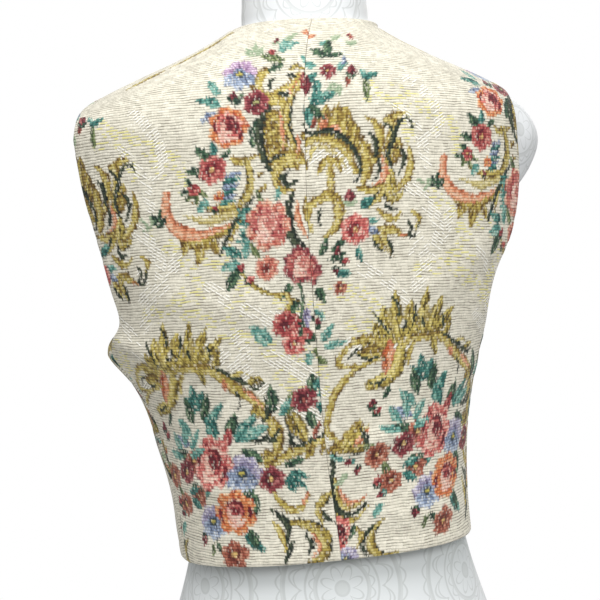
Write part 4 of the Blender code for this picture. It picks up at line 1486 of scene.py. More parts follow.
@dataclass
class ClothPanel:
    """One cloth wall of the waistcoat: a dense shell with the design woven in.

    Attributes:
        side: The wearer's side that it is on.
        wall: Whether it is a back or a front.
        rows: Divisions from the hem to the underarm, from there to the blades, and over the roll.
        columns: Divisions across.
        stamps: The figures of the design that fall on it.
        folds: Its soft ridges and troughs.
        flat: The width and length of its flat cut, in metres, which is not used.
        area: The flat cut's area, in square metres, which is not used.
        ridges: From where to where, sideways, the next row of the design shows on the ridge,
            and how far under the ridge, in millimetres.
        heights: How far its edges, seam and figures stand out.
    """

    side: Side
    wall: Wall
    rows: tuple[int, int, int]
    columns: int
    stamps: tuple[Stamp, ...]
    folds: tuple[Fold, ...]
    flat: Pair
    area: float
    ridges: tuple[tuple[float, float, float], ...] = ()
    heights: Relief = Relief()
    points: Array = field(init=False)
    normals: Array = field(init=False)
    across: Array = field(init=False)
    up: Array = field(init=False)

    @property
    def name(self) -> str:
        """The name of the wall's node."""
        return f"{self.wall.value}_{self.side.word}"

    def ring_rows(self) -> Array:
        """The outer face's points from the hem to the blades, row by row.

        Returns:
            The points, by row and column.
        """
        below = np.linspace(HEM_HEIGHT, UNDERARM_HEIGHT, self.rows[0] + 1)
        above = np.linspace(UNDERARM_HEIGHT, BLADE_HEIGHT, self.rows[1] + 1)
        z = np.concatenate((below, above[1:]))[:, None]
        share = np.linspace(0.0, 1.0, self.columns + 1)[None, :]
        centre, back, front = (WAISTCOAT(name, z) for name in ("centre_back", "back", "front"))
        side = self.side.value
        if self.wall is Wall.BACK:
            half_width = WAISTCOAT("back_" + self.side.word, z)
            first = math.pi
            last = edge_angle(edge_depth("back_edge", z), back, front)
        else:
            low = WAISTCOAT("back_" + self.side.word, z)
            high = WAISTCOAT("front_" + self.side.word, z)
            half_width = np.where(z <= UNDERARM_HEIGHT, low, high)
            first = np.arcsin(WAISTCOAT("front_start", z) / half_width)
            last = edge_angle(edge_depth("front_edge", z), back, front)
        angle = first + (last - first) * share
        return tilted(ring_points(side, z, angle, half_width, centre, back, front))

    def roll_rows(self, start: Array) -> Array:
        """The outer face's points over the roll, from the blades' row up to the shoulder seam.

        Args:
            start: The points of the blades' row.

        Returns:
            The points above it, by row and column.
        """
        share = np.linspace(0.0, 1.0, self.columns + 1)
        side = self.side.value
        if self.wall is Wall.BACK:
            by_neck = np.minimum(share / NECK_SHARE, 1.0)
            outwards = np.maximum(share - NECK_SHARE, 0.0) / (1.0 - NECK_SHARE)
            under_neck = (share < NECK_SHARE)[:, None]
            end = np.where(under_neck, neckline(side, by_neck), seam_top(side, outwards))
            turn = NAPE_ROLL + (SHOULDER_ROLL - NAPE_ROLL) * by_neck
        else:
            end = seam_top(side, share)
            turn = np.full_like(share, SHOULDER_ROLL)
        steps = np.linspace(0.0, 1.0, self.rows[2] + 1)[1:, None]
        return rolled(start[None], end[None], turn[None], steps)

    def lay_out(self) -> None:
        """Works out the outer face, its normals and each point's place on the flat cloth."""
        lower = self.ring_rows()
        points = np.concatenate((lower, self.roll_rows(lower[-1])))
        blade = len(lower) - 1
        points = self.eased(points, blade)
        outward = -self.side.value if self.wall is Wall.BACK else self.side.value
        along, sideways = np.gradient(points, axis=0), np.gradient(points, axis=1)
        self.normals = unit(np.cross(sideways, along)) * outward
        steps = np.hypot(np.diff(points[..., 1], axis=0), np.diff(points[..., 2], axis=0))
        up = np.concatenate((np.zeros((1, points.shape[1])), np.cumsum(steps, axis=0)))
        self.up = up - up[blade] + (BLADE_HEIGHT - HEM_HEIGHT)
        steps = np.hypot(np.diff(points[..., 0], axis=1), np.diff(points[..., 1], axis=1))
        reach = np.concatenate((np.zeros((len(points), 1)), np.cumsum(steps, axis=1)), axis=1)
        if self.wall is Wall.BACK:
            seam = float(WAISTCOAT("centre_back", BLADE_HEIGHT))
            self.across = -(points[:, :1, 0] - seam) - self.side.value * reach
        else:
            self.across = points[:, :1, 0] + self.side.value * reach
        self.points = points

    @staticmethod
    def eased(points: Array, blade: int) -> Array:
        """The points with the bend at the blades' row eased out.

        Args:
            points: The outer face's points, by row and column.
            blade: The number of the blades' row.

        Returns:
            The eased points.
        """
        kernel = np.exp(-(np.arange(-EASE_REACH, EASE_REACH + 1) / EASE_WIDTH) ** 2)
        kernel /= kernel.sum()
        smooth = points.copy()
        for i in range(3):
            for c in range(points.shape[1]):
                run = np.convolve(points[:, c, i], kernel, mode="valid")
                smooth[EASE_REACH:-EASE_REACH, c, i] = run
        rows = np.arange(len(points))
        share = np.exp(-(((rows - blade) / EASE_REACH) ** 2))[:, None, None]
        return points + (smooth - points) * share

    def spot(self, at: Place) -> Place:
        """The place on the flat cloth, in millimetres, of a sideways and upward place.

        Args:
            at: The sideways place and the height, in metres.

        Returns:
            The nearest point's place, across and up the cloth.
        """
        gap = np.hypot(self.points[..., 0] - at[0], self.points[..., 2] - at[1])
        r, c = np.unravel_index(int(np.argmin(gap)), gap.shape)
        return float(self.across[r, c]) * 1000, float(self.up[r, c]) * 1000

    def edge_distance(self) -> tuple[Array, Array]:
        """How far each point is from the wall's nearest edge, and from its centre-back seam.

        Returns:
            Both distances, in metres.
        """
        sides = np.minimum(np.abs(self.across - self.across[:, :1]),
                           np.abs(self.across - self.across[:, -1:]))
        ends = np.minimum(self.up - self.up[:1], self.up[-1:] - self.up)
        seam = np.abs(self.across - self.across[:, :1])
        return np.minimum(sides, ends), seam

    def weave(self) -> Weaver:
        """Draws every figure that falls on the wall.

        Returns:
            The weaver, once everything is drawn.
        """
        weaver = Weaver(self.across.ravel() * 1000, self.up.ravel() * 1000)
        tapestry = Tapestry()
        spots = []
        for stamp in self.stamps:
            s, t = self.spot(stamp.at)
            spots.append((s + stamp.repeats * REPEAT, t))
        for stamp, spot in zip(self.stamps, spots):
            if stamp.motif is Motif.SPRAY:
                weaver.stand(spot, stamp.part)
                tapestry.ghosts(weaver)
        for stamp, spot in zip(self.stamps, spots):
            weaver.stand(spot, stamp.part, stamp.lean, stamp.wide)
            tapestry.draw(stamp.motif, weaver)
        weaver.stand((0.0, 0.0))
        for first, last, show in self.ridges:
            line = []
            for x in np.linspace(first, last, 6):
                s, t = self.spot((x, float(ridge_height(x))))
                line.append((s / UNIT, (t - show) / UNIT))
            weaver.stroke(line, RIDGE_BAND, GOLD, 0.7, 0.4)
        return weaver

    def relief(self, raised: Array) -> tuple[Array, Array]:
        """How far the cloth stands off its plain surface, with the woven figures and without.

        Args:
            raised: How far the design stands out, as a share.

        Returns:
            Both heights, in metres. The second leaves out the rim's fall too.
        """
        edge, seam = self.edge_distance()
        x, z = self.points[..., 0], self.points[..., 2]
        broad = np.zeros(x.shape)
        for fold in self.folds:
            broad += fold.lift(x, z)
        size = self.heights
        broad += size.turned_edge * smooth_step(edge, *size.turned_width)
        rim = -size.rim * np.clip(1.0 - edge / size.rim_width, 0.0, 1.0) ** 2
        if self.wall is Wall.BACK:
            rim *= size.seam_rim + (1.0 - size.seam_rim) * smooth_step(seam, 0.001, 0.003)
            t = self.up * 1000
            pucker = np.sin(t / 4.1) * np.sin(t / 11.3 + 1.0) + 0.6 * np.sin(t / 7.7)
            broad += size.pucker * pucker * np.exp(-((seam / size.pucker_width) ** 2))
            broad -= size.groove * np.exp(-((seam / size.groove_width) ** 2))
        return broad + rim + size.figure * raised.reshape(x.shape), broad

    def shell(self) -> Piece:
        """The wall's dense outer face, its coarse inner face and the rim between them.

        Returns:
            The wall, with what its material reads.
        """
        weaver = self.weave()
        full, broad = self.relief(weaver.raised)
        points = self.drawn_back()
        outer = points + self.normals * full[..., None]
        r_count, c_count = full.shape
        rows = np.unique(np.linspace(0, r_count - 1, r_count // INNER_STEP).astype(int))
        columns = np.unique(np.linspace(0, c_count - 1, c_count // INNER_STEP).astype(int))
        inner = (points + self.normals * (broad - WALL)[..., None])[np.ix_(rows, columns)]
        behind = r_count * c_count
        corner = np.arange(behind).reshape(r_count, c_count)
        low = behind + np.arange(len(rows) * len(columns)).reshape(len(rows), len(columns))
        quads = np.stack((corner[:-1, :-1], corner[:-1, 1:], corner[1:, 1:], corner[1:, :-1]), -1)
        backs = np.stack((low[:-1, :-1], low[1:, :-1], low[1:, 1:], low[:-1, 1:]), -1)
        faces = quads.reshape(-1, 4).tolist() + backs.reshape(-1, 4).tolist()
        faces += self.rim(corner, low, rows, columns)
        places = np.concatenate((outer.reshape(-1, 3), inner.reshape(-1, 3)))
        mesh = bpy.data.meshes.new(self.name)
        mesh.from_pydata(places.tolist(), [], faces)
        turn_outwards(mesh)
        s = np.concatenate((self.across.ravel(), self.across[np.ix_(rows, columns)].ravel()))
        t = np.concatenate((self.up.ravel(), self.up[np.ix_(rows, columns)].ravel()))
        plain = np.tile(np.array(REVERSE), (low.size, 1))
        colours = np.concatenate((weaver.colour, plain))
        bare = np.zeros(low.size)
        write_map(mesh, "cloth", s, t)
        write_colour(mesh, "tapestry", colours)
        write_value(mesh, "figured", np.concatenate((weaver.raised, bare)))
        write_value(mesh, "floats", np.concatenate((weaver.floats, bare)))
        write_value(mesh, "flecks", np.concatenate((weaver.flecks, bare)))
        return add_piece("cloth_" + self.name, mesh)

    def drawn_back(self) -> Array:
        """The outer points with the seam edges moved half the seam's gap back.

        Returns:
            The moved points.
        """
        points = self.points.copy()
        points[:, 0] += unit(points[:, 1] - points[:, 0]) * SEAM_GAP / 2
        points[:, -1] += unit(points[:, -2] - points[:, -1]) * SEAM_GAP / 2
        points[-1] += unit(points[-2] - points[-1]) * SEAM_GAP / 2
        return points

    @staticmethod
    def rim(corner: Array, low: Array, rows: Array, columns: Array) -> list[list[int]]:
        """The faces between the two layers, one to each coarse step round the edge.

        Args:
            corner: The numbers of the outer points, by row and column.
            low: The numbers of the inner points.
            rows: The outer rows that have inner ones behind them.
            columns: The outer columns that have inner ones behind them.

        Returns:
            The faces, as lists of points.
        """
        faces = []
        for a, b, i in zip(columns[:-1], columns[1:], range(len(columns))):
            faces.append([*corner[0, a:b + 1][::-1].tolist(), low[0, i], low[0, i + 1]])
            faces.append([*corner[-1, a:b + 1].tolist(), low[-1, i + 1], low[-1, i]])
        for a, b, i in zip(rows[:-1], rows[1:], range(len(rows))):
            faces.append([*corner[a:b + 1, 0].tolist(), low[i + 1, 0], low[i, 0]])
            faces.append([*corner[a:b + 1, -1][::-1].tolist(), low[i, -1], low[i + 1, -1]])
        return [[int(v) for v in face] for face in faces]

    def pierce(self, piece: Piece) -> None:
        """Cuts the eyelets' holes through a front.

        Args:
            piece: The front.
        """
        cutters = bmesh.new()
        for pair in range(EYELET_PAIRS):
            centre, normal = chest_frame(*eyelet_place(self.side.value, pair))
            spin = Vector(normal).to_track_quat("Z", "Y").to_matrix().to_4x4()
            place = Matrix.Translation(Vector(centre)) @ spin
            bmesh.ops.create_cone(cutters, cap_ends=True, segments=24, radius1=BARREL_RADIUS + 0.0004,
                                  radius2=BARREL_RADIUS + 0.0004, depth=0.012, matrix=place)
        mesh = bpy.data.meshes.new("hole_cutter")
        cutters.to_mesh(mesh)
        cutters.free()
        cutter = add_piece("hole_cutter", mesh)
        cut = piece.modifiers.new("holes", "BOOLEAN")
        cut.operation, cut.solver, cut.object = "DIFFERENCE", "EXACT", cutter
        make_plain(piece)
        bpy.data.objects.remove(cutter, do_unlink=True)

    def build(self) -> Piece:
        """Builds and dresses the wall.

        Returns:
            The finished piece.
        """
        self.lay_out()
        piece = self.shell()
        if self.wall is Wall.FRONT:
            self.pierce(piece)
        piece.data.shade_smooth()
        piece.data.set_sharp_from_angle(angle=math.radians(62))
        piece.data.materials.clear()
        piece.data.materials.append(TapestryFinish().material())
        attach(piece, "root")
        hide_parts(self.name)
        return piece


def turn_outwards(mesh: Mesh) -> None:
    """Turns a closed mesh's faces outwards if they point in.

    Args:
        mesh: The mesh.
    """
    work = bmesh.new()
    work.from_mesh(mesh)
    if work.calc_volume(signed=True) < 0:
        bmesh.ops.reverse_faces(work, faces=work.faces)
    work.to_mesh(mesh)
    work.free()


def write_map(mesh: Mesh, name: str, u: Array, v: Array) -> None:
    """Gives a mesh a UV map from one place for each point.

    Args:
        mesh: The mesh.
        name: The map's name.
        u: Each point's place across.
        v: Each point's place up.
    """
    corners = np.empty(len(mesh.loops), dtype=np.int32)
    mesh.loops.foreach_get("vertex_index", corners)
    layer = mesh.uv_layers.new(name=name)
    layer.data.foreach_set("uv", np.stack((u, v), axis=-1)[corners].astype(np.float32).ravel())


def write_colour(mesh: Mesh, name: str, colours: Array) -> None:
    """Gives a mesh a colour for each point, from display values up to 255.

    Args:
        mesh: The mesh.
        name: The layer's name.
        colours: Red, green and blue for each point.
    """
    share = np.clip(colours / 255.0, 0.0, 1.0)
    linear = np.where(share <= 0.04045, share / 12.92, ((share + 0.055) / 1.055) ** 2.4)
    full = np.concatenate((linear, np.ones((len(linear), 1))), axis=1)
    layer = mesh.color_attributes.new(name=name, type="FLOAT_COLOR", domain="POINT")
    layer.data.foreach_set("color", full.astype(np.float32).ravel())


def write_value(mesh: Mesh, name: str, values: Array) -> None:
    """Gives a mesh a number for each point."""
    layer = mesh.attributes.new(name=name, type="FLOAT", domain="POINT")
    layer.data.foreach_set("value", values.astype(np.float32))


def add_piece(name: str, data: bpy.types.ID) -> Piece:
    """Links a mesh, curve, camera or light into the scene as an object at the origin.

    Args:
        name: The object's name.
        data: What it shows.

    Returns:
        The object.
    """
    made = bpy.data.objects.new(name, data)
    bpy.context.scene.collection.objects.link(made)
    return made


def make_plain(piece: Piece) -> None:
    """Turns a piece with modifiers into a plain mesh.

    Args:
        piece: The piece.
    """
    graph = bpy.context.evaluated_depsgraph_get()
    shot = piece.evaluated_get(graph)
    mesh = bpy.data.meshes.new_from_object(shot, preserve_all_data_layers=True, depsgraph=graph)
    piece.modifiers.clear()
    piece.data = mesh


class Recipe:
    """Writes a node tree as short sums."""

    def __init__(self, tree: Tree) -> None:
        """Starts with the tree's own nodes."""
        self.tree = tree

    def node(self, kind: str, **settings: object) -> Node:
        """Adds a node and sets its options.

        Args:
            kind: The node's type.
            settings: Its options by name.

        Returns:
            The node.
        """
        made = self.tree.nodes.new(kind)
        for key, value in settings.items():
            setattr(made, key, value)
        return made

    def feed(self, socket: Socket, value: object) -> None:
        """Links a socket to a value's socket, or sets it to a plain value.

        Args:
            socket: The socket.
            value: A socket or a plain value.
        """
        if isinstance(value, Socket):
            self.tree.links.new(value, socket)
        else:
            socket.default_value = value

    def sum(self, operation: str, *values: Number, clamp: bool = False) -> Socket:
        """One Math node.

        Args:
            operation: What is done with the numbers.
            values: Numbers or sockets.
            clamp: Whether the result is kept from 0 to 1.

        Returns:
            The result's socket.
        """
        made = self.node("ShaderNodeMath", operation=operation, use_clamp=clamp)
        for socket, value in zip(made.inputs, values):
            self.feed(socket, value)
        return made.outputs[0]

    def span(self, value: Number, low: float, high: float, start: float = 0.0,
             end: float = 1.0) -> Socket:
        """A smooth change from start at low to end at high.

        Args:
            value: The number that runs from low to high.
            low: Where the change starts.
            high: Where it ends.
            start: The result at low.
            end: The result at high.

        Returns:
            The result's socket.
        """
        made = self.node("ShaderNodeMapRange", interpolation_type="SMOOTHSTEP", clamp=True)
        for socket, number in zip(made.inputs, (value, low, high, start, end)):
            self.feed(socket, number)
        return made.outputs[0]

    def blend(self, share: Number, first: object, second: object, kind: str = "MIX") -> Socket:
        """A mix of two colours.

        Args:
            share: How much of the second colour is laid on.
            first: The first colour.
            second: The second colour.
            kind: How it is laid on.

        Returns:
            The colour's socket.
        """
        made = self.node("ShaderNodeMix", data_type="RGBA", blend_type=kind)
        self.feed(made.inputs[0], share)
        self.feed(made.inputs[6], first)
        self.feed(made.inputs[7], second)
        return made.outputs[2]

    def pair(self, x: Number, y: Number) -> Socket:
        """A vector of two numbers.

        Args:
            x: The first number.
            y: The second number.

        Returns:
            The vector's socket.
        """
        made = self.node("ShaderNodeCombineXYZ")
        self.feed(made.inputs[0], x)
        self.feed(made.inputs[1], y)
        return made.outputs[0]

    def grain(self, vector: Socket, scale: float, detail: float = 2.0) -> Socket:
        """A noise from 0 to 1.

        Args:
            vector: The place.
            scale: How fine the noise is.
            detail: How many finer noises are added.

        Returns:
            The noise's socket.
        """
        made = self.node("ShaderNodeTexNoise")
        self.feed(made.inputs["Vector"], vector)
        made.inputs["Scale"].default_value = scale
        made.inputs["Detail"].default_value = detail
        return made.outputs[0]

    def bump(self, shader: Node, height: Number, distance: float, strength: float = 1.0) -> None:
        """Gives a shader a bump that stands a distance in metres.

        Args:
            shader: The shader.
            height: The relief.
            distance: What a height of 1 stands for, in metres.
            strength: How strong it is, as a share.
        """
        made = self.node("ShaderNodeBump")
        made.inputs["Strength"].default_value = strength
        made.inputs["Distance"].default_value = distance
        self.feed(made.inputs["Height"], height)
        self.feed(shader.inputs["Normal"], made.outputs[0])

    def polar(self, x: Number, y: Number) -> tuple[Socket, Socket]:
        """How far a place is from the middle, and its angle in radians."""
        away = self.sum("SQRT", self.sum("ADD", self.sum("MULTIPLY", x, x), self.sum("MULTIPLY", y, y)))
        return away, self.sum("ARCTAN2", y, x)

    def saw(self, value: Number) -> Socket:
        """A wave that is 1 at each whole number and 0 halfway between."""
        part = self.sum("MULTIPLY", self.sum("FRACT", value), 2.0)
        return self.sum("ABSOLUTE", self.sum("SUBTRACT", part, 1.0))

    def chance(self, vector: Socket) -> Socket:
        """A random number for each whole place.

        Args:
            vector: The place.

        Returns:
            The number's socket.
        """
        made = self.node("ShaderNodeTexWhiteNoise", noise_dimensions="2D")
        self.feed(made.inputs["Vector"], vector)
        return made.outputs["Value"]


def new_material(name: str) -> tuple[Material, Recipe, Node]:
    """Starts a material.

    Args:
        name: The material's name.

    Returns:
        The material, the recipe of its tree and its Principled shader.
    """
    material = bpy.data.materials.new(name)
    material.use_nodes = True
    return material, Recipe(material.node_tree), material.node_tree.nodes["Principled BSDF"]


@dataclass(frozen=True)
class TapestryFinish:
    """Ribbed jacquard cloth: rounded rows of weft with thin dark gaps, and the woven colours.

    Attributes:
        row: The height of a row, in metres.
        warp: The width of a warp step, in metres.
        row_relief: How far a row stands over its gap, in metres.
        gap_depth: How dark a gap is in the plain ground, as a share.
        figure_depth: How dark a gap is in the figures, as a share.
        float_pitch: The spacing of the slanting floats, in metres.
        float_length: The length of one of them, in metres.
        float_lean: Their angle to the rows, in degrees.
        float_yarn: The floats' colour.
        float_shade: The colour of the shadow under them.
        fleck_yarn: The colour of the flecks along the rows.
        fleck_share: How much of a fleck's place it covers.
        pale_yarn: The colour of single pale threads.
        warmth: The powers that make the gaps warmer than grey, for red, green and blue.
        roughness: The roughness of the ground and of the figures.
        gloss: The specular level.
        sheen: The sheen's weight and roughness.
    """

    row: float = ROW_PITCH / 1000
    warp: float = WARP_PITCH / 1000
    row_relief: float = 0.00022
    gap_depth: float = 0.80
    figure_depth: float = 0.50
    float_pitch: float = 0.0023
    float_length: float = 0.0064
    float_lean: float = 34.0
    float_yarn: Colour = (0.93, 0.91, 0.84)
    float_shade: Colour = (0.24, 0.21, 0.15)
    fleck_yarn: Colour = (0.74, 0.68, 0.19)
    fleck_share: float = 0.8
    pale_yarn: Colour = (0.80, 0.76, 0.64)
    warmth: tuple[float, float, float] = (0.99, 1.03, 1.12)
    roughness: Pair = (0.86, 0.74)
    gloss: float = 0.28
    sheen: Pair = (0.12, 0.5)

    def material(self) -> Material:
        """The cloth's material, made once and then shared.

        Returns:
            The material.
        """
        if "tapestry_cloth" in bpy.data.materials:
            return bpy.data.materials["tapestry_cloth"]
        material, r, shader = new_material("tapestry_cloth")
        place = r.node("ShaderNodeUVMap", uv_map="cloth").outputs[0]
        split = r.node("ShaderNodeSeparateXYZ")
        r.feed(split.inputs[0], place)
        drift = r.sum("MULTIPLY", r.sum("SUBTRACT", r.grain(place, 85.0), 0.5), 0.9)
        sway = r.sum("MULTIPLY", r.sum("SUBTRACT", r.grain(place, 22.0), 0.5), 1.2)
        drift = r.sum("ADD", drift, sway)
        rows = r.sum("ADD", r.sum("DIVIDE", split.outputs[1], self.row), drift)
        row = r.sum("FLOOR", rows)
        swell = r.saw(rows)
        shift = r.sum("MULTIPLY", r.sum("MODULO", row, 2.0), 0.5)
        steps = r.sum("ADD", r.sum("DIVIDE", split.outputs[0], self.warp), shift)
        step = r.sum("FLOOR", steps)
        warp = r.saw(steps)
        chance = r.chance(r.pair(step, row))
        stagger = r.sum("MULTIPLY", r.chance(r.pair(row, 3.5)), 9.0)
        long_steps = r.sum("FLOOR", r.sum("DIVIDE", r.sum("ADD", steps, stagger), 4.0))
        dash = r.chance(r.pair(long_steps, r.sum("ADD", row, 0.5)))
        gap = r.span(swell, 0.56, 0.94)
        figured = r.node("ShaderNodeAttribute", attribute_name="figured").outputs["Fac"]
        crossing = r.span(warp, 0.35, 0.95)
        ground_gap = r.sum("MULTIPLY", gap, r.span(dash, 0.15, 0.85, 0.24, 1.0))
        figure_gap = r.sum("MULTIPLY", gap, r.span(chance, 0.0, 1.0, 0.35, 1.0))
        dark = r.sum("ADD",
                     r.sum("MULTIPLY", ground_gap, r.span(figured, 0.0, 1.0, self.gap_depth, 0.0)),
                     r.sum("MULTIPLY", figure_gap, r.span(figured, 0.0, 1.0, 0.0, self.figure_depth)))
        fleck = r.sum("MULTIPLY", crossing, r.span(figured, 0.0, 1.0, 0.03, 0.34))
        dark = r.sum("ADD", dark, r.sum("MULTIPLY", fleck, r.span(swell, 0.0, 0.6, 0.35, 1.0)))
        uneven = r.span(dash, 0.0, 1.0, 1.04, 0.95)
        uneven = r.sum("MULTIPLY", uneven, r.span(chance, 0.0, 1.0, 0.93, 1.05))
        soft = r.span(r.grain(place, 26.0, 3.0), 0.3, 0.7, 0.96, 1.03)
        value = r.sum("MULTIPLY", r.sum("MULTIPLY", uneven, soft), r.sum("SUBTRACT", 1.0, dark))
        woven = r.node("ShaderNodeVertexColor", layer_name="tapestry").outputs[0]
        shade = r.node("ShaderNodeCombineColor")
        for socket, warmth in zip(shade.inputs, self.warmth):
            r.feed(socket, r.sum("POWER", value, warmth))
        light_thread = r.sum("MULTIPLY", r.span(chance, 0.90, 0.93), r.span(figured, 0.2, 1.0, 0.0, 0.36))
        woven = r.blend(light_thread, woven, (*self.pale_yarn, 1.0))
        shown = r.blend(1.0, woven, shade.outputs[0], "MULTIPLY")
        short_steps = r.sum("FLOOR", r.sum("DIVIDE", r.sum("ADD", steps, stagger), 3.0))
        spread = r.span(r.chance(r.pair(short_steps, r.sum("ADD", row, 7.3))), 0.60, 0.66)
        line = r.sum("MULTIPLY", r.span(swell, 0.62, 0.34), spread)
        flecks = r.node("ShaderNodeAttribute", attribute_name="flecks").outputs["Fac"]
        shown = r.blend(r.sum("MULTIPLY", line, r.sum("MULTIPLY", flecks, self.fleck_share)), shown,
                        (*self.fleck_yarn, 1.0))
        floats = r.node("ShaderNodeAttribute", attribute_name="floats").outputs["Fac"]
        shown = self.floating(r, shown, split, floats, 1.0)
        shown = self.floating(r, shown, split, floats, -1.0)
        r.feed(shader.inputs["Base Color"], shown)
        round_row = r.sum("SUBTRACT", 1.0, r.sum("MULTIPLY", swell, swell))
        yarn = r.sum("MULTIPLY", r.sum("SUBTRACT", chance, 0.5), 0.35)
        twist = r.sum("MULTIPLY", r.sum("SUBTRACT", 1.0, crossing), 0.3)
        height = r.sum("ADD", r.sum("ADD", round_row, yarn), twist)
        r.bump(shader, height, self.row_relief)
        r.feed(shader.inputs["Roughness"], r.span(figured, 0.0, 1.0, *self.roughness))
        shader.inputs["Specular IOR Level"].default_value = self.gloss
        shader.inputs["Sheen Weight"].default_value = self.sheen[0]
        shader.inputs["Sheen Roughness"].default_value = self.sheen[1]
        return material

    def floating(self, r: Recipe, under: Socket, split: Node, floats: Socket, lean: float) -> Socket:
        """The cloth's colour with the light floats of one lean laid over it.

        Args:
            r: The material's recipe.
            under: The colour so far.
            split: The place on the cloth, as separate numbers.
            floats: The attribute that says where floats are and how they lean.
            lean: 1 for floats that rise to the right and -1 for ones that fall.

        Returns:
            The colour's socket.
        """
        turn = math.radians(self.float_lean) * lean
        across, up = split.outputs[0], split.outputs[1]
        over = r.sum("SUBTRACT", r.sum("MULTIPLY", up, math.cos(turn)),
                     r.sum("MULTIPLY", across, math.sin(turn)))
        along = r.sum("ADD", r.sum("MULTIPLY", across, math.cos(turn)),
                      r.sum("MULTIPLY", up, math.sin(turn)))
        lines = r.sum("DIVIDE", over, self.float_pitch)
        each = r.sum("FLOOR", lines)
        start = r.sum("MULTIPLY", r.chance(r.pair(each, 2.5)), 6.0)
        pieces = r.sum("ADD", r.sum("DIVIDE", along, self.float_length), start)
        kept = r.span(r.chance(r.pair(r.sum("FLOOR", pieces), each)), 0.26, 0.30)
        ends = r.sum("ABSOLUTE", r.sum("SUBTRACT", r.sum("FRACT", pieces), 0.5))
        kept = r.sum("MULTIPLY", kept, r.span(ends, 0.46, 0.40))
        here = r.span(r.sum("MULTIPLY", floats, lean), 0.25, 0.65)
        kept = r.sum("MULTIPLY", kept, here)
        part = r.sum("FRACT", lines)
        thread = r.span(r.sum("ABSOLUTE", r.sum("SUBTRACT", part, 0.5)), 0.25, 0.12)
        shadow = r.span(part, 0.34, 0.10)
        under = r.blend(r.sum("MULTIPLY", r.sum("MULTIPLY", shadow, kept), 0.42), under,
                        (*self.float_shade, 1.0))
        return r.blend(r.sum("MULTIPLY", thread, kept), under, (*self.float_yarn, 1.0))


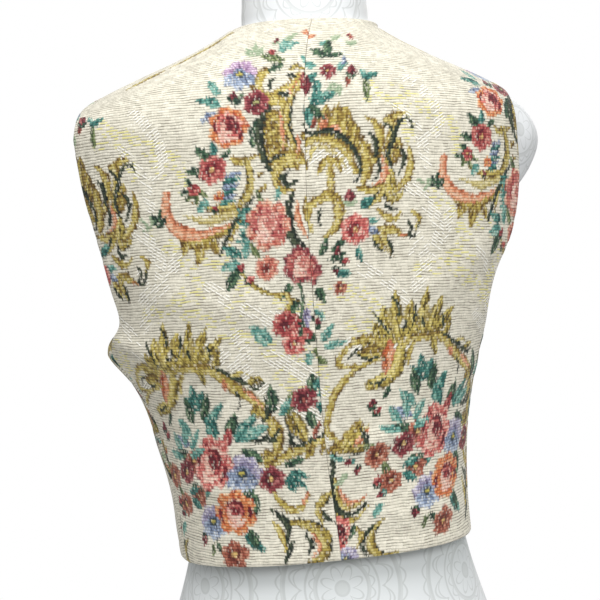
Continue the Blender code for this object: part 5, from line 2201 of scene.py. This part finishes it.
@dataclass(frozen=True)
class CoverFinish:
    """The form's white stretch cover, with a faint grey pattern of ringed flowers and a painted shadow
    under the hem.

    Attributes:
        tile: The width of one ringed flower and its surround, in metres.
        line: Half the width of a drawn line, as a share of a tile.
        ground: The cover's colour.
        band: The colour of the filled bands.
        ink: The colour of the lines.
        shade: The colour that the cover fades to under the hem.
        weave_relief: The height of the cover's own weave, in metres.
    """

    tile: float = 0.118
    line: float = 0.0075
    ground: Colour = (0.80, 0.82, 0.83)
    band: Colour = (0.70, 0.72, 0.72)
    ink: Colour = (0.66, 0.68, 0.68)
    # shade: The colour of the painted shadow that the cover fades to under the hem.
    shade: Colour = (0.56, 0.60, 0.58)
    weave_relief: float = 0.00006

    def material(self) -> Material:
        """The cover's material.

        Returns:
            The material.
        """
        material, r, shader = new_material("form_cover_cloth")
        place = r.node("ShaderNodeUVMap", uv_map="cover").outputs[0]
        split = r.node("ShaderNodeSeparateXYZ")
        r.feed(split.inputs[0], place)
        up = r.sum("DIVIDE", split.outputs[1], self.tile)
        row = r.sum("FLOOR", up)
        shift = r.sum("MULTIPLY", r.sum("MODULO", row, 2.0), 0.5)
        across = r.sum("ADD", r.sum("DIVIDE", split.outputs[0], self.tile), shift)
        x = r.sum("SUBTRACT", r.sum("FRACT", across), 0.5)
        y = r.sum("SUBTRACT", r.sum("FRACT", up), 0.5)
        lines, fills = self.ringed_flower(r, x, y)
        corner_x = r.sum("SUBTRACT", r.sum("FRACT", r.sum("ADD", across, 0.5)), 0.5)
        corner_y = r.sum("SUBTRACT", r.sum("ABSOLUTE", y), 0.5)
        more = self.small_flower(r, corner_x, corner_y)
        drawn = r.sum("MAXIMUM", lines, more)
        wash = r.blend(fills, (*self.ground, 1.0), (*self.band, 1.0))
        printed = r.blend(drawn, wash, (*self.ink, 1.0))
        height = r.node("ShaderNodeSeparateXYZ")
        r.feed(height.inputs[0], r.node("ShaderNodeTexCoord").outputs["Object"])
        # Painted shadow: the cover is darkened just under the hem, where the waistcoat's hem casts its
        # shade.
        grey = r.span(height.outputs[2], HEM_HEIGHT - 0.075, HEM_HEIGHT + 0.012, 0.0, 0.62)
        grey = r.sum("MULTIPLY", grey, r.span(height.outputs[2], HEM_HEIGHT + 0.05, HEM_HEIGHT + 0.03))
        shaded = r.blend(grey, printed, (*self.shade, 1.0), "MULTIPLY")
        r.feed(shader.inputs["Base Color"], shaded)
        r.bump(shader, r.grain(place, 2400.0), self.weave_relief, 0.5)
        shader.inputs["Roughness"].default_value = 0.68
        shader.inputs["Specular IOR Level"].default_value = 0.3
        shader.inputs["Sheen Weight"].default_value = 0.15
        return material

    def stripe(self, r: Recipe, value: Number, width: float = 1.0) -> Socket:
        """A drawn line where a value is nought."""
        return r.span(r.sum("ABSOLUTE", value), self.line * width * 1.3, self.line * width * 0.6)

    def lobed(self, r: Recipe, away: Number, round_: Number, radius: float, depth: float,
              count: float, width: float = 1.0) -> Socket:
        """A ring of scallops, as a line.

        Args:
            r: The material's recipe.
            away: How far a place is from the ring's middle.
            round_: Its angle there, in radians.
            radius: The ring's radius between its scallops.
            depth: How far the scallops stand out.
            count: How many scallops there are.
            width: The line's width, as a share.

        Returns:
            How much of the line shows.
        """
        wave = r.sum("ABSOLUTE", r.sum("SINE", r.sum("MULTIPLY", round_, count / 2.0)))
        edge = r.sum("ADD", r.sum("MULTIPLY", wave, depth), radius)
        return self.stripe(r, r.sum("SUBTRACT", away, edge), width)

    def ringed_flower(self, r: Recipe, x: Number, y: Number) -> tuple[Socket, Socket]:
        """The lines and the filled bands of a large flower in scalloped rings.

        Args:
            r: The material's recipe.
            x: The place across from its middle, in tiles.
            y: The place up from its middle, in tiles.

        Returns:
            How much of the lines shows, and how much of the bands.
        """
        away, round_ = r.polar(x, y)
        drawn = self.stripe(r, r.sum("SUBTRACT", away, 0.045))
        for radius, depth, count, width in (
            (0.07, 0.075, 8.0, 1.0), (0.17, 0.0, 2.0, 0.8), (0.19, 0.03, 16.0, 0.8),
            (0.245, 0.0, 2.0, 1.0), (0.27, 0.085, 12.0, 1.0), (0.28, 0.045, 12.0, 0.7),
            (0.385, 0.0, 2.0, 1.3), (0.41, 0.03, 24.0, 0.9),
        ):
            drawn = r.sum("MAXIMUM", drawn, self.lobed(r, away, round_, radius, depth, count, width))
        band = r.sum("MULTIPLY", r.span(away, 0.384, 0.388), r.span(away, 0.412, 0.408))
        core = r.span(away, 0.046, 0.042)
        inner = r.sum("MULTIPLY", r.span(away, 0.170, 0.174), r.span(away, 0.194, 0.190))
        return drawn, r.sum("MAXIMUM", r.sum("MAXIMUM", band, core), inner)

    def small_flower(self, r: Recipe, x: Number, y: Number) -> Socket:
        """The lines of a small flower between four large ones.

        Args:
            r: The material's recipe.
            x: The place across from its middle, in tiles.
            y: The place up from its middle, in tiles.

        Returns:
            How much of the lines shows.
        """
        away, round_ = r.polar(x, y)
        drawn = self.stripe(r, r.sum("SUBTRACT", away, 0.03))
        for radius, depth, count in ((0.05, 0.07, 6.0), (0.14, 0.05, 8.0)):
            drawn = r.sum("MAXIMUM", drawn, self.lobed(r, away, round_, radius, depth, count))
        return drawn


@dataclass(frozen=True)
class BrassFinish:
    """Worn brass, darker in patches where it is worn."""

    colour: Colour = (0.60, 0.44, 0.18)
    worn: Colour = (0.30, 0.20, 0.08)
    scratch_depth: float = 0.00005

    def material(self) -> Material:
        """The eyelets' material.

        Returns:
            The material.
        """
        material, r, shader = new_material("eyelet_brass")
        place = r.node("ShaderNodeTexCoord").outputs["Object"]
        stain = r.span(r.grain(place, 420.0, 4.0), 0.42, 0.66)
        r.feed(shader.inputs["Base Color"], r.blend(stain, (*self.colour, 1.0), (*self.worn, 1.0)))
        r.feed(shader.inputs["Roughness"], r.span(stain, 0.0, 1.0, 0.26, 0.52))
        shader.inputs["Metallic"].default_value = 1.0
        r.bump(shader, r.grain(place, 1500.0), self.scratch_depth, 0.3)
        return material


@dataclass(frozen=True)
class LaceFinish:
    """A braided cord: two sets of strands that cross round it.

    Attributes:
        pitch: The length of one turn of a strand, in metres.
        strands: How many strands go each way.
        light: The colour on the strands.
        dark: The colour between them, a painted shade in the grooves.
        strand_relief: How far a strand stands out, in metres.
    """

    pitch: float = 0.0105
    strands: float = 4.0
    light: Colour = (0.52, 0.40, 0.20)
    dark: Colour = (0.20, 0.14, 0.06)
    strand_relief: float = 0.0003

    def material(self) -> Material:
        """The lace's material.

        Returns:
            The material.
        """
        material, r, shader = new_material("lace_braid")
        along = r.node("ShaderNodeAttribute", attribute_name="along").outputs["Fac"]
        round_ = r.node("ShaderNodeAttribute", attribute_name="round").outputs["Fac"]
        length = r.sum("MULTIPLY", r.sum("DIVIDE", along, self.pitch), self.strands)
        turn = r.sum("MULTIPLY", round_, self.strands)
        one = r.sum("PINGPONG", r.sum("ADD", length, turn), 0.5)
        two = r.sum("PINGPONG", r.sum("SUBTRACT", length, turn), 0.5)
        ridge = r.sum("MULTIPLY", r.sum("MULTIPLY", one, two), 4.0)
        # Painted shade: the colour darkens in the grooves between the strands.
        colour = r.blend(r.span(ridge, 0.05, 0.6), (*self.dark, 1.0), (*self.light, 1.0))
        r.feed(shader.inputs["Base Color"], colour)
        r.bump(shader, ridge, self.strand_relief, 0.9)
        shader.inputs["Roughness"].default_value = 0.72
        shader.inputs["Sheen Weight"].default_value = 0.2
        return material


class Workings(Recipe):
    """Writes a Geometry Nodes tree with named sizes, and gives it to an object."""

    def __init__(self, name: str) -> None:
        """Starts a tree that takes a shape and gives one.

        Args:
            name: The tree's name.
        """
        tree = bpy.data.node_groups.new(name, "GeometryNodeTree")
        super().__init__(tree)
        tree.interface.new_socket("Geometry", in_out="INPUT", socket_type="NodeSocketGeometry")
        tree.interface.new_socket("Geometry", in_out="OUTPUT", socket_type="NodeSocketGeometry")
        self.sizes: dict[str, float] = {}
        self.entry = tree.nodes.new("NodeGroupInput")
        self.exit = tree.nodes.new("NodeGroupOutput")

    def size(self, name: str, value: float) -> Socket:
        """A named size of the tree.

        Args:
            name: The size's name.
            value: Its value.

        Returns:
            Its socket.
        """
        self.tree.interface.new_socket(name, in_out="INPUT", socket_type="NodeSocketFloat")
        self.sizes[name] = value
        return self.entry.outputs[name]

    def through(self, kind: str, sockets: dict[str, object], **settings: object) -> Node:
        """Adds a node with its inputs by name.

        Args:
            kind: The node's type.
            sockets: The values or sockets that go in, by name.
            settings: Its options by name.

        Returns:
            The node.
        """
        made = self.node(kind, **settings)
        for name, value in sockets.items():
            self.feed(made.inputs[name], value)
        return made

    def finish(self, shape: Socket, material: Material, piece: Piece) -> None:
        """Ends the tree and gives it to a piece as a modifier, with its sizes.

        Args:
            shape: The finished shape's socket.
            material: Its material.
            piece: The piece.
        """
        real = self.through("GeometryNodeRealizeInstances", {"Geometry": shape})
        dressed = self.through("GeometryNodeSetMaterial",
                               {"Geometry": real.outputs[0], "Material": material})
        self.feed(self.exit.inputs[0], dressed.outputs[0])
        modifier = piece.modifiers.new(self.tree.name, "NODES")
        modifier.node_group = self.tree
        for item in self.tree.interface.items_tree:
            if item.in_out == "INPUT" and item.name in self.sizes:
                modifier[item.identifier] = self.sizes[item.name]


@dataclass
class Lacing:
    """The brass eyelets and the lace that crosses between them."""

    brass: BrassFinish = BrassFinish()
    braid: LaceFinish = LaceFinish()
    ring_spacing: float = 0.0011
    ring_sides: int = 12

    def build_eyelets(self) -> Piece:
        """All the eyelets: a rolled rim in front, a barrel and a washer behind.

        Returns:
            The finished piece.
        """
        places, facing = [], []
        for side in Side:
            for pair in range(EYELET_PAIRS):
                centre, normal = chest_frame(*eyelet_place(side.value, pair))
                places.append(tuple(centre))
                facing.append(normal)
        mesh = bpy.data.meshes.new("eyelets")
        mesh.from_pydata(places, [], [])
        layer = mesh.attributes.new("facing", "FLOAT_VECTOR", "POINT")
        layer.data.foreach_set("vector", np.array(facing, dtype=np.float32).ravel())
        piece = add_piece("eyelets", mesh)
        w = Workings("eyelet_row")
        flange = w.size("flange radius", (FLANGE_RADIUS + BARREL_RADIUS) / 2)
        rim = w.size("rim thickness", (FLANGE_RADIUS - BARREL_RADIUS) / 2)
        bore = w.size("bore radius", (BORE_RADIUS + BARREL_RADIUS) / 2)
        depth = w.size("cloth thickness", WALL)
        parts = [
            self.ring(w, flange, rim, 0.0005, 40, 0.75),
            self.ring(w, flange, w.sum("MULTIPLY", rim, 0.8),
                      w.sum("SUBTRACT", -0.0010, depth), 32, 0.45),
            self.ring(w, bore, 0.00026, w.sum("MULTIPLY", depth, -0.5), 32, 7.2),
        ]
        joined = w.node("GeometryNodeJoinGeometry")
        for part in reversed(parts):
            w.tree.links.new(part, joined.inputs[0])
        aim = w.through("FunctionNodeAlignRotationToVector", {
            "Vector": w.through("GeometryNodeInputNamedAttribute", {"Name": "facing"},
                                data_type="FLOAT_VECTOR").outputs[0]}, axis="Z")
        rows = w.through("GeometryNodeInstanceOnPoints", {
            "Points": w.entry.outputs[0], "Instance": joined.outputs[0],
            "Rotation": aim.outputs[0]})
        w.finish(rows.outputs[0], self.brass.material(), piece)
        make_plain(piece)
        nodes = [f"eyelet_{side.word}_{pair + 1}" for side in Side for pair in range(EYELET_PAIRS)]
        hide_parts(*nodes)
        return self.settle(piece, "brass")

    @staticmethod
    def ring(w: Workings, radius: Number, thickness: Number, height: Number, steps: int,
             tall: float) -> Socket:
        """A turned ring whose section is an ellipse.

        Args:
            w: The tree.
            radius: The ring's radius.
            thickness: Half the section's thickness.
            height: How far the ring stands over the cloth's face.
            steps: Divisions round it.
            tall: The section's height as a share of its width.

        Returns:
            The ring's socket.
        """
        path = w.through("GeometryNodeCurvePrimitiveCircle", {"Resolution": steps, "Radius": radius})
        section = w.through("GeometryNodeCurvePrimitiveCircle",
                            {"Resolution": 10, "Radius": thickness})
        tube = w.through("GeometryNodeCurveToMesh",
                         {"Curve": path.outputs[0], "Profile Curve": section.outputs[0]})
        place = w.node("ShaderNodeCombineXYZ")
        w.feed(place.inputs[2], height)
        size = w.node("ShaderNodeCombineXYZ")
        for socket, value in zip(size.inputs, (1.0, 1.0, tall)):
            socket.default_value = value
        moved = w.through("GeometryNodeTransform", {
            "Geometry": tube.outputs[0], "Translation": place.outputs[0],
            "Scale": size.outputs[0]})
        smooth = w.through("GeometryNodeSetShadeSmooth", {"Geometry": moved.outputs[0]})
        return smooth.outputs[0]

    def route(self) -> list[Array]:
        """The lace's places, from its end inside the highest eyelet on one side to the other.

        Returns:
            The places in order.
        """
        behind = []
        for share in (0.98, 0.80, 0.20, 0.02):
            x, z = eyelet_place(1, 0)
            point, normal = chest_frame(x * (2 * share - 1), z)
            behind.append(point + normal * LACE_UNDER)
        return self.strand(1, True)[::-1] + behind + self.strand(-1, False)

    @staticmethod
    def strand(side: int, over: bool) -> list[Array]:
        """Half of the lace, from behind the lowest pair up to its end inside the highest pair.

        Args:
            side: The side of the lowest eyelet, 1 for the wearer's left.
            over: Whether it lies over the other half where they cross.

        Returns:
            The places in order.
        """
        dip = (0.0024, 0.0008, -0.0042) if over else (0.0012, -0.0026, -0.0045)
        rise = (0.0024, 0.0008, 0.0024) if over else (0.0012, -0.0026, 0.0012)
        points = []
        for pair in range(EYELET_PAIRS - 1):
            last = pair == EYELET_PAIRS - 2
            start, end = eyelet_place(side, pair), eyelet_place(-side, pair + 1)
            far = LACE_OVER if last else LACE_UNDER
            heights = (LACE_OVER, LACE_OVER, *(rise if last else dip), far, far)
            shares = (0.015, 0.13, 0.30, 0.50, 0.70 if last else 0.72, 0.87 if last else 0.88, 0.985)
            centre, normal = chest_frame(*start)
            points.append(centre - normal * WALL / 2)
            for share, height in zip(shares, heights):
                x = start[0] + (end[0] - start[0]) * share
                z = start[1] + (end[1] - start[1]) * share
                point, normal = chest_frame(x, z)
                points.append(point + normal * height)
            side = -side
        centre, normal = chest_frame(*eyelet_place(side, EYELET_PAIRS - 1))
        return points + [centre - normal * WALL / 2, centre + normal * LACE_END]

    def build_lace(self) -> Piece:
        """The lace as a smooth braided cord along its route.

        Returns:
            The finished piece.
        """
        points = self.route()
        curve = bpy.data.curves.new("lace", "CURVE")
        curve.dimensions = "3D"
        spline = curve.splines.new("POLY")
        spline.points.add(len(points) - 1)
        for place, point in zip(spline.points, points):
            place.co = (*point, 1.0)
        piece = add_piece("lace_line", curve)
        w = Workings("lace_cord")
        radius = w.size("cord radius", LACE_RADIUS)
        step = w.size("ring spacing", self.ring_spacing)
        line = w.through("GeometryNodeResampleCurve",
                         {"Curve": w.entry.outputs[0], "Length": step}, mode="LENGTH")
        section = w.through("GeometryNodeCurvePrimitiveCircle",
                            {"Resolution": self.ring_sides, "Radius": radius})
        marked = self.marked(w, line.outputs[0], "along", "Length")
        ringed = self.marked(w, section.outputs[0], "round", "Factor")
        tube = w.through("GeometryNodeCurveToMesh",
                         {"Curve": marked, "Profile Curve": ringed, "Fill Caps": True})
        smooth = w.through("GeometryNodeSetShadeSmooth", {"Geometry": tube.outputs[0]})
        w.finish(smooth.outputs[0], self.braid.material(), piece)
        shot = piece.evaluated_get(bpy.context.evaluated_depsgraph_get())
        cord = add_piece("lace_cord", bpy.data.meshes.new_from_object(shot))
        bpy.data.objects.remove(piece, do_unlink=True)
        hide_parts("lace")
        return self.settle(cord, "lace")

    @staticmethod
    def marked(w: Workings, curve: Socket, name: str, measure: str) -> Socket:
        """A curve whose points keep how far along it they are.

        Args:
            w: The tree.
            curve: The curve's socket.
            name: The attribute's name.
            measure: What it keeps.

        Returns:
            The curve's socket.
        """
        along = w.node("GeometryNodeSplineParameter").outputs[measure]
        kept = w.through("GeometryNodeStoreNamedAttribute",
                         {"Geometry": curve, "Name": name, "Value": along})
        return kept.outputs[0]

    @staticmethod
    def settle(piece: Piece, slot: str) -> Piece:
        """Merges a piece's doubled points, turns its faces outwards and fixes it to the frame's root.

        Args:
            piece: The piece.
            slot: Its slot, which is not used.

        Returns:
            The same piece.
        """
        work = bmesh.new()
        work.from_mesh(piece.data)
        bmesh.ops.remove_doubles(work, verts=work.verts, dist=1e-6)
        bmesh.ops.recalc_face_normals(work, faces=work.faces)
        work.to_mesh(piece.data)
        work.free()
        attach(piece, "root")
        return piece


@dataclass
class DressForm:
    """The limbless form in its printed stretch cover.

    Attributes:
        rows: Divisions up the form.
        sides: Divisions round it.
        rim: The radius of a rounded edge at the top of the neck, in metres, which is not used.
    """

    rows: int = 150
    sides: int = 144
    rim: float = 0.003

    def build(self) -> Piece:
        """Builds and dresses the form.

        Returns:
            The finished piece.
        """
        z = np.linspace(0.0, FORM_HEIGHT, self.rows + 1)[:, None]
        angle = np.linspace(0.0, 2 * math.pi, self.sides, endpoint=False)[None, :] - math.pi / 2
        points = self.surface(z, angle)
        steps = np.linalg.norm(np.diff(points[..., :2], axis=1), axis=-1)
        reach = np.concatenate((np.zeros((len(points), 1)), np.cumsum(steps, axis=1)), axis=1)
        half = reach[:, self.sides // 2:self.sides // 2 + 1]
        mesh = bpy.data.meshes.new("dress_form_cover")
        mesh.from_pydata(points.reshape(-1, 3).tolist(), [], self.faces())
        turn_outwards(mesh)
        write_map(mesh, "cover", (half - reach).ravel(), np.broadcast_to(z, reach.shape).ravel())
        piece = add_piece("form_cover", mesh)
        mesh.shade_smooth()
        mesh.set_sharp_from_angle(angle=math.radians(40))
        mesh.materials.append(CoverFinish().material())
        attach(piece, "root")
        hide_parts("dress_form")
        return piece

    @staticmethod
    def surface(z: Array, angle: Array) -> Array:
        """The cover's points at heights and angles.

        Args:
            z: The heights, in metres.
            angle: The angles, in radians.

        Returns:
            The points, by row and column.
        """
        half_width, roundness = FORM("half_width", z), FORM("roundness", z)
        across, along = np.cos(angle), np.sin(angle)
        reach = (np.abs(across) ** roundness + np.abs(along) ** roundness) ** (-1.0 / roundness)
        x = half_width * across * reach
        y = np.where(along > 0, FORM("back", z), FORM("front", z)) * along * reach
        aside = (np.abs(x) - BUST_SPACING) / BUST_WIDTH
        above = (z - BUST_HEIGHT) / BUST_SPREAD
        forwards = np.clip(-along / BUST_FADE, 0.0, 1.0)
        y = y - BUST_RISE * np.exp(-(aside**2) - above**2) * forwards
        return np.stack(np.broadcast_arrays(x, y, z), axis=-1)

    def faces(self) -> list[list[int]]:
        """The cover's faces, with its flat base and top.

        Returns:
            The faces, as lists of points.
        """
        corner = np.arange((self.rows + 1) * self.sides).reshape(self.rows + 1, self.sides)
        beside = np.roll(corner, -1, axis=1)
        quads = np.stack((corner[:-1], beside[:-1], beside[1:], corner[1:]), axis=-1)
        return [*quads.reshape(-1, 4).tolist(), corner[0][::-1].tolist(), corner[-1].tolist()]


@dataclass(frozen=True)
class Studio:
    """The camera at the photograph's viewpoint, the white surround, the floor and the lights.

    Attributes:
        distance: The camera's distance from the form's axis, in metres.
        yaw: How far it stands round to the wearer's left of the back, in degrees.
        roll: How far it is turned on its axis, in degrees.
        height: Its height, in metres.
        aside: How far it is moved to the viewer's left, in metres.
        lens: Its focal length, in millimetres.
        glow: The surround's strength from below and from above, as light.
        floor_radius: The floor's radius, in metres.
        floor_drop: How far the floor lies under the form, in metres.
        floor_tone: The floor's darkest and lightest tone.
    """

    distance: float = 1.2
    yaw: float = 5.0
    roll: float = 2.6
    height: float = 0.400
    aside: float = 0.0144
    lens: float = 86.4
    glow: Pair = (0.12, 0.60)
    floor_radius: float = 0.7
    floor_drop: float = 0.0005
    floor_tone: Pair = (0.70, 0.74)

    def build(self) -> None:
        """Sets up all of it."""
        self.set_camera()
        self.set_world()
        self.set_floor()
        self.set_lights()

    def set_camera(self) -> None:
        """The camera, level behind the back and turned a little on its axis."""
        yaw, roll = math.radians(self.yaw), math.radians(self.roll)
        back = Vector((math.sin(yaw), math.cos(yaw), 0.0))
        right = Vector((-math.cos(yaw), math.sin(yaw), 0.0))
        up = Vector((0.0, 0.0, 1.0))
        data = bpy.data.cameras.new("photo_view")
        data.lens, data.sensor_width = self.lens, 36.0
        camera = add_piece("photo_view", data)
        place = back * self.distance - right * self.aside + up * self.height
        axis_x = right * math.cos(roll) - up * math.sin(roll)
        axis_y = up * math.cos(roll) + right * math.sin(roll)
        turned = Matrix((axis_x, axis_y, back)).transposed().to_4x4()
        camera.matrix_world = Matrix.Translation(place) @ turned
        bpy.context.scene.camera = camera
        bpy.context.scene.view_settings.view_transform = "Standard"

    def set_world(self) -> None:
        """A plain white surround."""
        world = bpy.data.worlds.new("white_surround")
        world.use_nodes = True
        sky = world.node_tree.nodes["Background"]
        sky.inputs["Color"].default_value = (1.0, 1.0, 1.0, 1.0)
        r = Recipe(world.node_tree)
        direction = r.node("ShaderNodeSeparateXYZ")
        r.feed(direction.inputs[0], r.node("ShaderNodeTexCoord").outputs["Generated"])
        glow = r.span(direction.outputs[2], -0.50, 0.35, *self.glow)
        seen = r.node("ShaderNodeLightPath").outputs["Is Camera Ray"]
        r.feed(sky.inputs["Strength"], r.sum("MAXIMUM", glow, seen))
        bpy.context.scene.world = world

    def set_floor(self) -> None:
        """A plain pale round of floor under the form."""
        work = bmesh.new()
        bmesh.ops.create_circle(work, cap_ends=True, segments=96, radius=self.floor_radius)
        mesh = bpy.data.meshes.new("floor")
        work.to_mesh(mesh)
        work.free()
        floor = add_piece("floor", mesh)
        mesh.transform(Matrix.Translation((0.0, 0.0, -self.floor_drop)))
        material, r, shader = new_material("floor_paper")
        place = r.node("ShaderNodeTexCoord").outputs["Object"]
        tone = r.span(r.grain(place, 8.0), 0.2, 0.8, *self.floor_tone)
        shade = r.node("ShaderNodeCombineColor")
        for socket in shade.inputs:
            r.feed(socket, tone)
        r.feed(shader.inputs["Base Color"], shade.outputs[0])
        shader.inputs["Roughness"].default_value = 0.9
        mesh.materials.append(material)

    @staticmethod
    def set_lights() -> None:
        """A soft light from above, one from the camera's side and one from the far side.

        Each row holds the light's name, its place and the place it looks at, both in metres, its
        width in metres and its power in watts.
        """
        lights = (
            ("top_light", (0.12, 0.55, 1.30), (0.0, 0.02, 0.50), 0.6, 6.4),
            ("camera_side_light", (-0.35, 1.45, 1.00), (0.0, 0.0, 0.44), 0.8, 9.4),
            ("far_side_light", (-0.6, -1.3, 1.0), (0.0, 0.0, 0.42), 0.9, 9.0),
        )
        for name, place, target, size, power in lights:
            data = bpy.data.lights.new(name, "AREA")
            data.shape, data.size, data.energy = "DISK", size, power
            light = add_piece(name, data)
            aim = (Vector(target) - Vector(place)).to_track_quat("-Z", "Y")
            light.matrix_world = Matrix.Translation(place) @ aim.to_matrix().to_4x4()


ROSE_OF_SPRAY: Place = (-72, 73)
WING_OF_SPRAY: Place = (90, 40)
ROSE_OF_MEDALLION: Place = (-28, -5)


def panels() -> list[ClothPanel]:
    """The four walls of the waistcoat, with what is woven on each and how each one lies.

    Returns:
        The walls.
    """
    back_left = ClothPanel(
        Side.LEFT, Wall.BACK, (147, 153, 108), 196,
        stamps=(
            Stamp(Motif.SPRAY, (0.072, 0.534), ROSE_OF_SPRAY, lean=(0.06, 0.06)),
            Stamp(Motif.SPRAY, (0.158, 0.477), WING_OF_SPRAY),
            Stamp(Motif.MEDALLION, (0.096, 0.277), ROSE_OF_MEDALLION, 0, (0.12, 0.05), (0.88, 1.06)),
        ),
        folds=(
            Fold((0.176, 0.385), (0.105, 0.345), 0.008, 0.0036, 0.004),
            Fold((0.160, 0.366), (0.085, 0.334), 0.007, -0.0018, 0.003),
            Fold((0.150, 0.420), (0.040, 0.392), 0.015, 0.0028, 0.008),
            Fold((0.125, 0.318), (0.030, 0.350), 0.013, -0.0015, 0.007),
            Fold((0.118, 0.262), (0.050, 0.236), 0.010, 0.0030, -0.004),
            Fold((0.046, 0.302), (0.006, 0.286), 0.006, 0.0024, 0.002),
        ),
        flat=(0.230, 0.490), area=0.0800,
        ridges=((0.062, 0.112, 4.4), (0.118, 0.146, 4.4)),
    )
    back_right = ClothPanel(
        Side.RIGHT, Wall.BACK, (147, 153, 108), 196,
        stamps=(
            Stamp(Motif.SPRAY, (-0.051, 0.504), WING_OF_SPRAY, lean=(0.06, 0.06)),
            Stamp(Motif.SPRAY, (-0.138, 0.553), ROSE_OF_SPRAY, lean=(0.06, 0.06)),
            Stamp(Motif.MEDALLION, (-0.079, 0.294), ROSE_OF_MEDALLION, lean=(0.16, 0.20)),
        ),
        folds=(
            Fold((-0.001, 0.287), (-0.078, 0.300), 0.007, 0.0036, 0.002),
            Fold((0.004, 0.273), (-0.060, 0.281), 0.006, -0.0006, 0.001),
            Fold((-0.145, 0.452), (-0.060, 0.396), 0.014, 0.0032, -0.006),
            Fold((-0.020, 0.235), (-0.100, 0.232), 0.010, 0.0028, 0.004),
            Fold((-0.128, 0.350), (-0.080, 0.322), 0.009, 0.0020, -0.003),
        ),
        flat=(0.215, 0.485), area=0.0770,
        ridges=((-0.050, -0.090, 9.0),),
    )
    front_left = ClothPanel(
        Side.LEFT, Wall.FRONT, (116, 120, 60), 150,
        stamps=(
            Stamp(Motif.SPRAY, (0.110, 0.470), ROSE_OF_SPRAY),
            Stamp(Motif.SPRAY, (0.110, 0.470), ROSE_OF_SPRAY, 1),
            Stamp(Motif.MEDALLION, (0.085, 0.262), ROSE_OF_MEDALLION),
            Stamp(Motif.MEDALLION, (0.085, 0.262), ROSE_OF_MEDALLION, 1),
        ),
        folds=(
            Fold((0.120, 0.345), (0.075, 0.300), 0.011, 0.0014, 0.003),
            Fold((0.150, 0.300), (0.100, 0.255), 0.012, 0.0013, -0.004),
        ),
        flat=(0.280, 0.495), area=0.0825,
    )
    front_right = ClothPanel(
        Side.RIGHT, Wall.FRONT, (116, 120, 60), 150,
        stamps=(
            Stamp(Motif.SPRAY, (-0.060, 0.480), ROSE_OF_SPRAY),
            Stamp(Motif.SPRAY, (-0.060, 0.480), ROSE_OF_SPRAY, -1),
            Stamp(Motif.MEDALLION, (-0.070, 0.270), ROSE_OF_MEDALLION),
            Stamp(Motif.MEDALLION, (-0.070, 0.270), ROSE_OF_MEDALLION, -1),
        ),
        folds=(
            Fold((-0.110, 0.340), (-0.070, 0.305), 0.010, 0.0012, 0.003),
        ),
        flat=(0.245, 0.490), area=0.0740,
    )
    return [back_left, back_right, front_left, front_right]


def main() -> None:
    """Dresses the frame: studio, form, cloth walls and lacing."""
    logging.basicConfig(level=logging.INFO, format="%(message)s")
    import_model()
    Studio().build()
    form = DressForm().build()
    log.info("form cover: %d faces", len(form.data.polygons))
    for panel in panels():
        piece = panel.build()
        log.info("%s: %d faces", piece.name, len(piece.data.polygons))
    lacing = Lacing()
    for piece in (lacing.build_eyelets(), lacing.build_lace()):
        log.info("%s: %d faces", piece.name, len(piece.data.polygons))


if __name__ == "__main__":
    main()
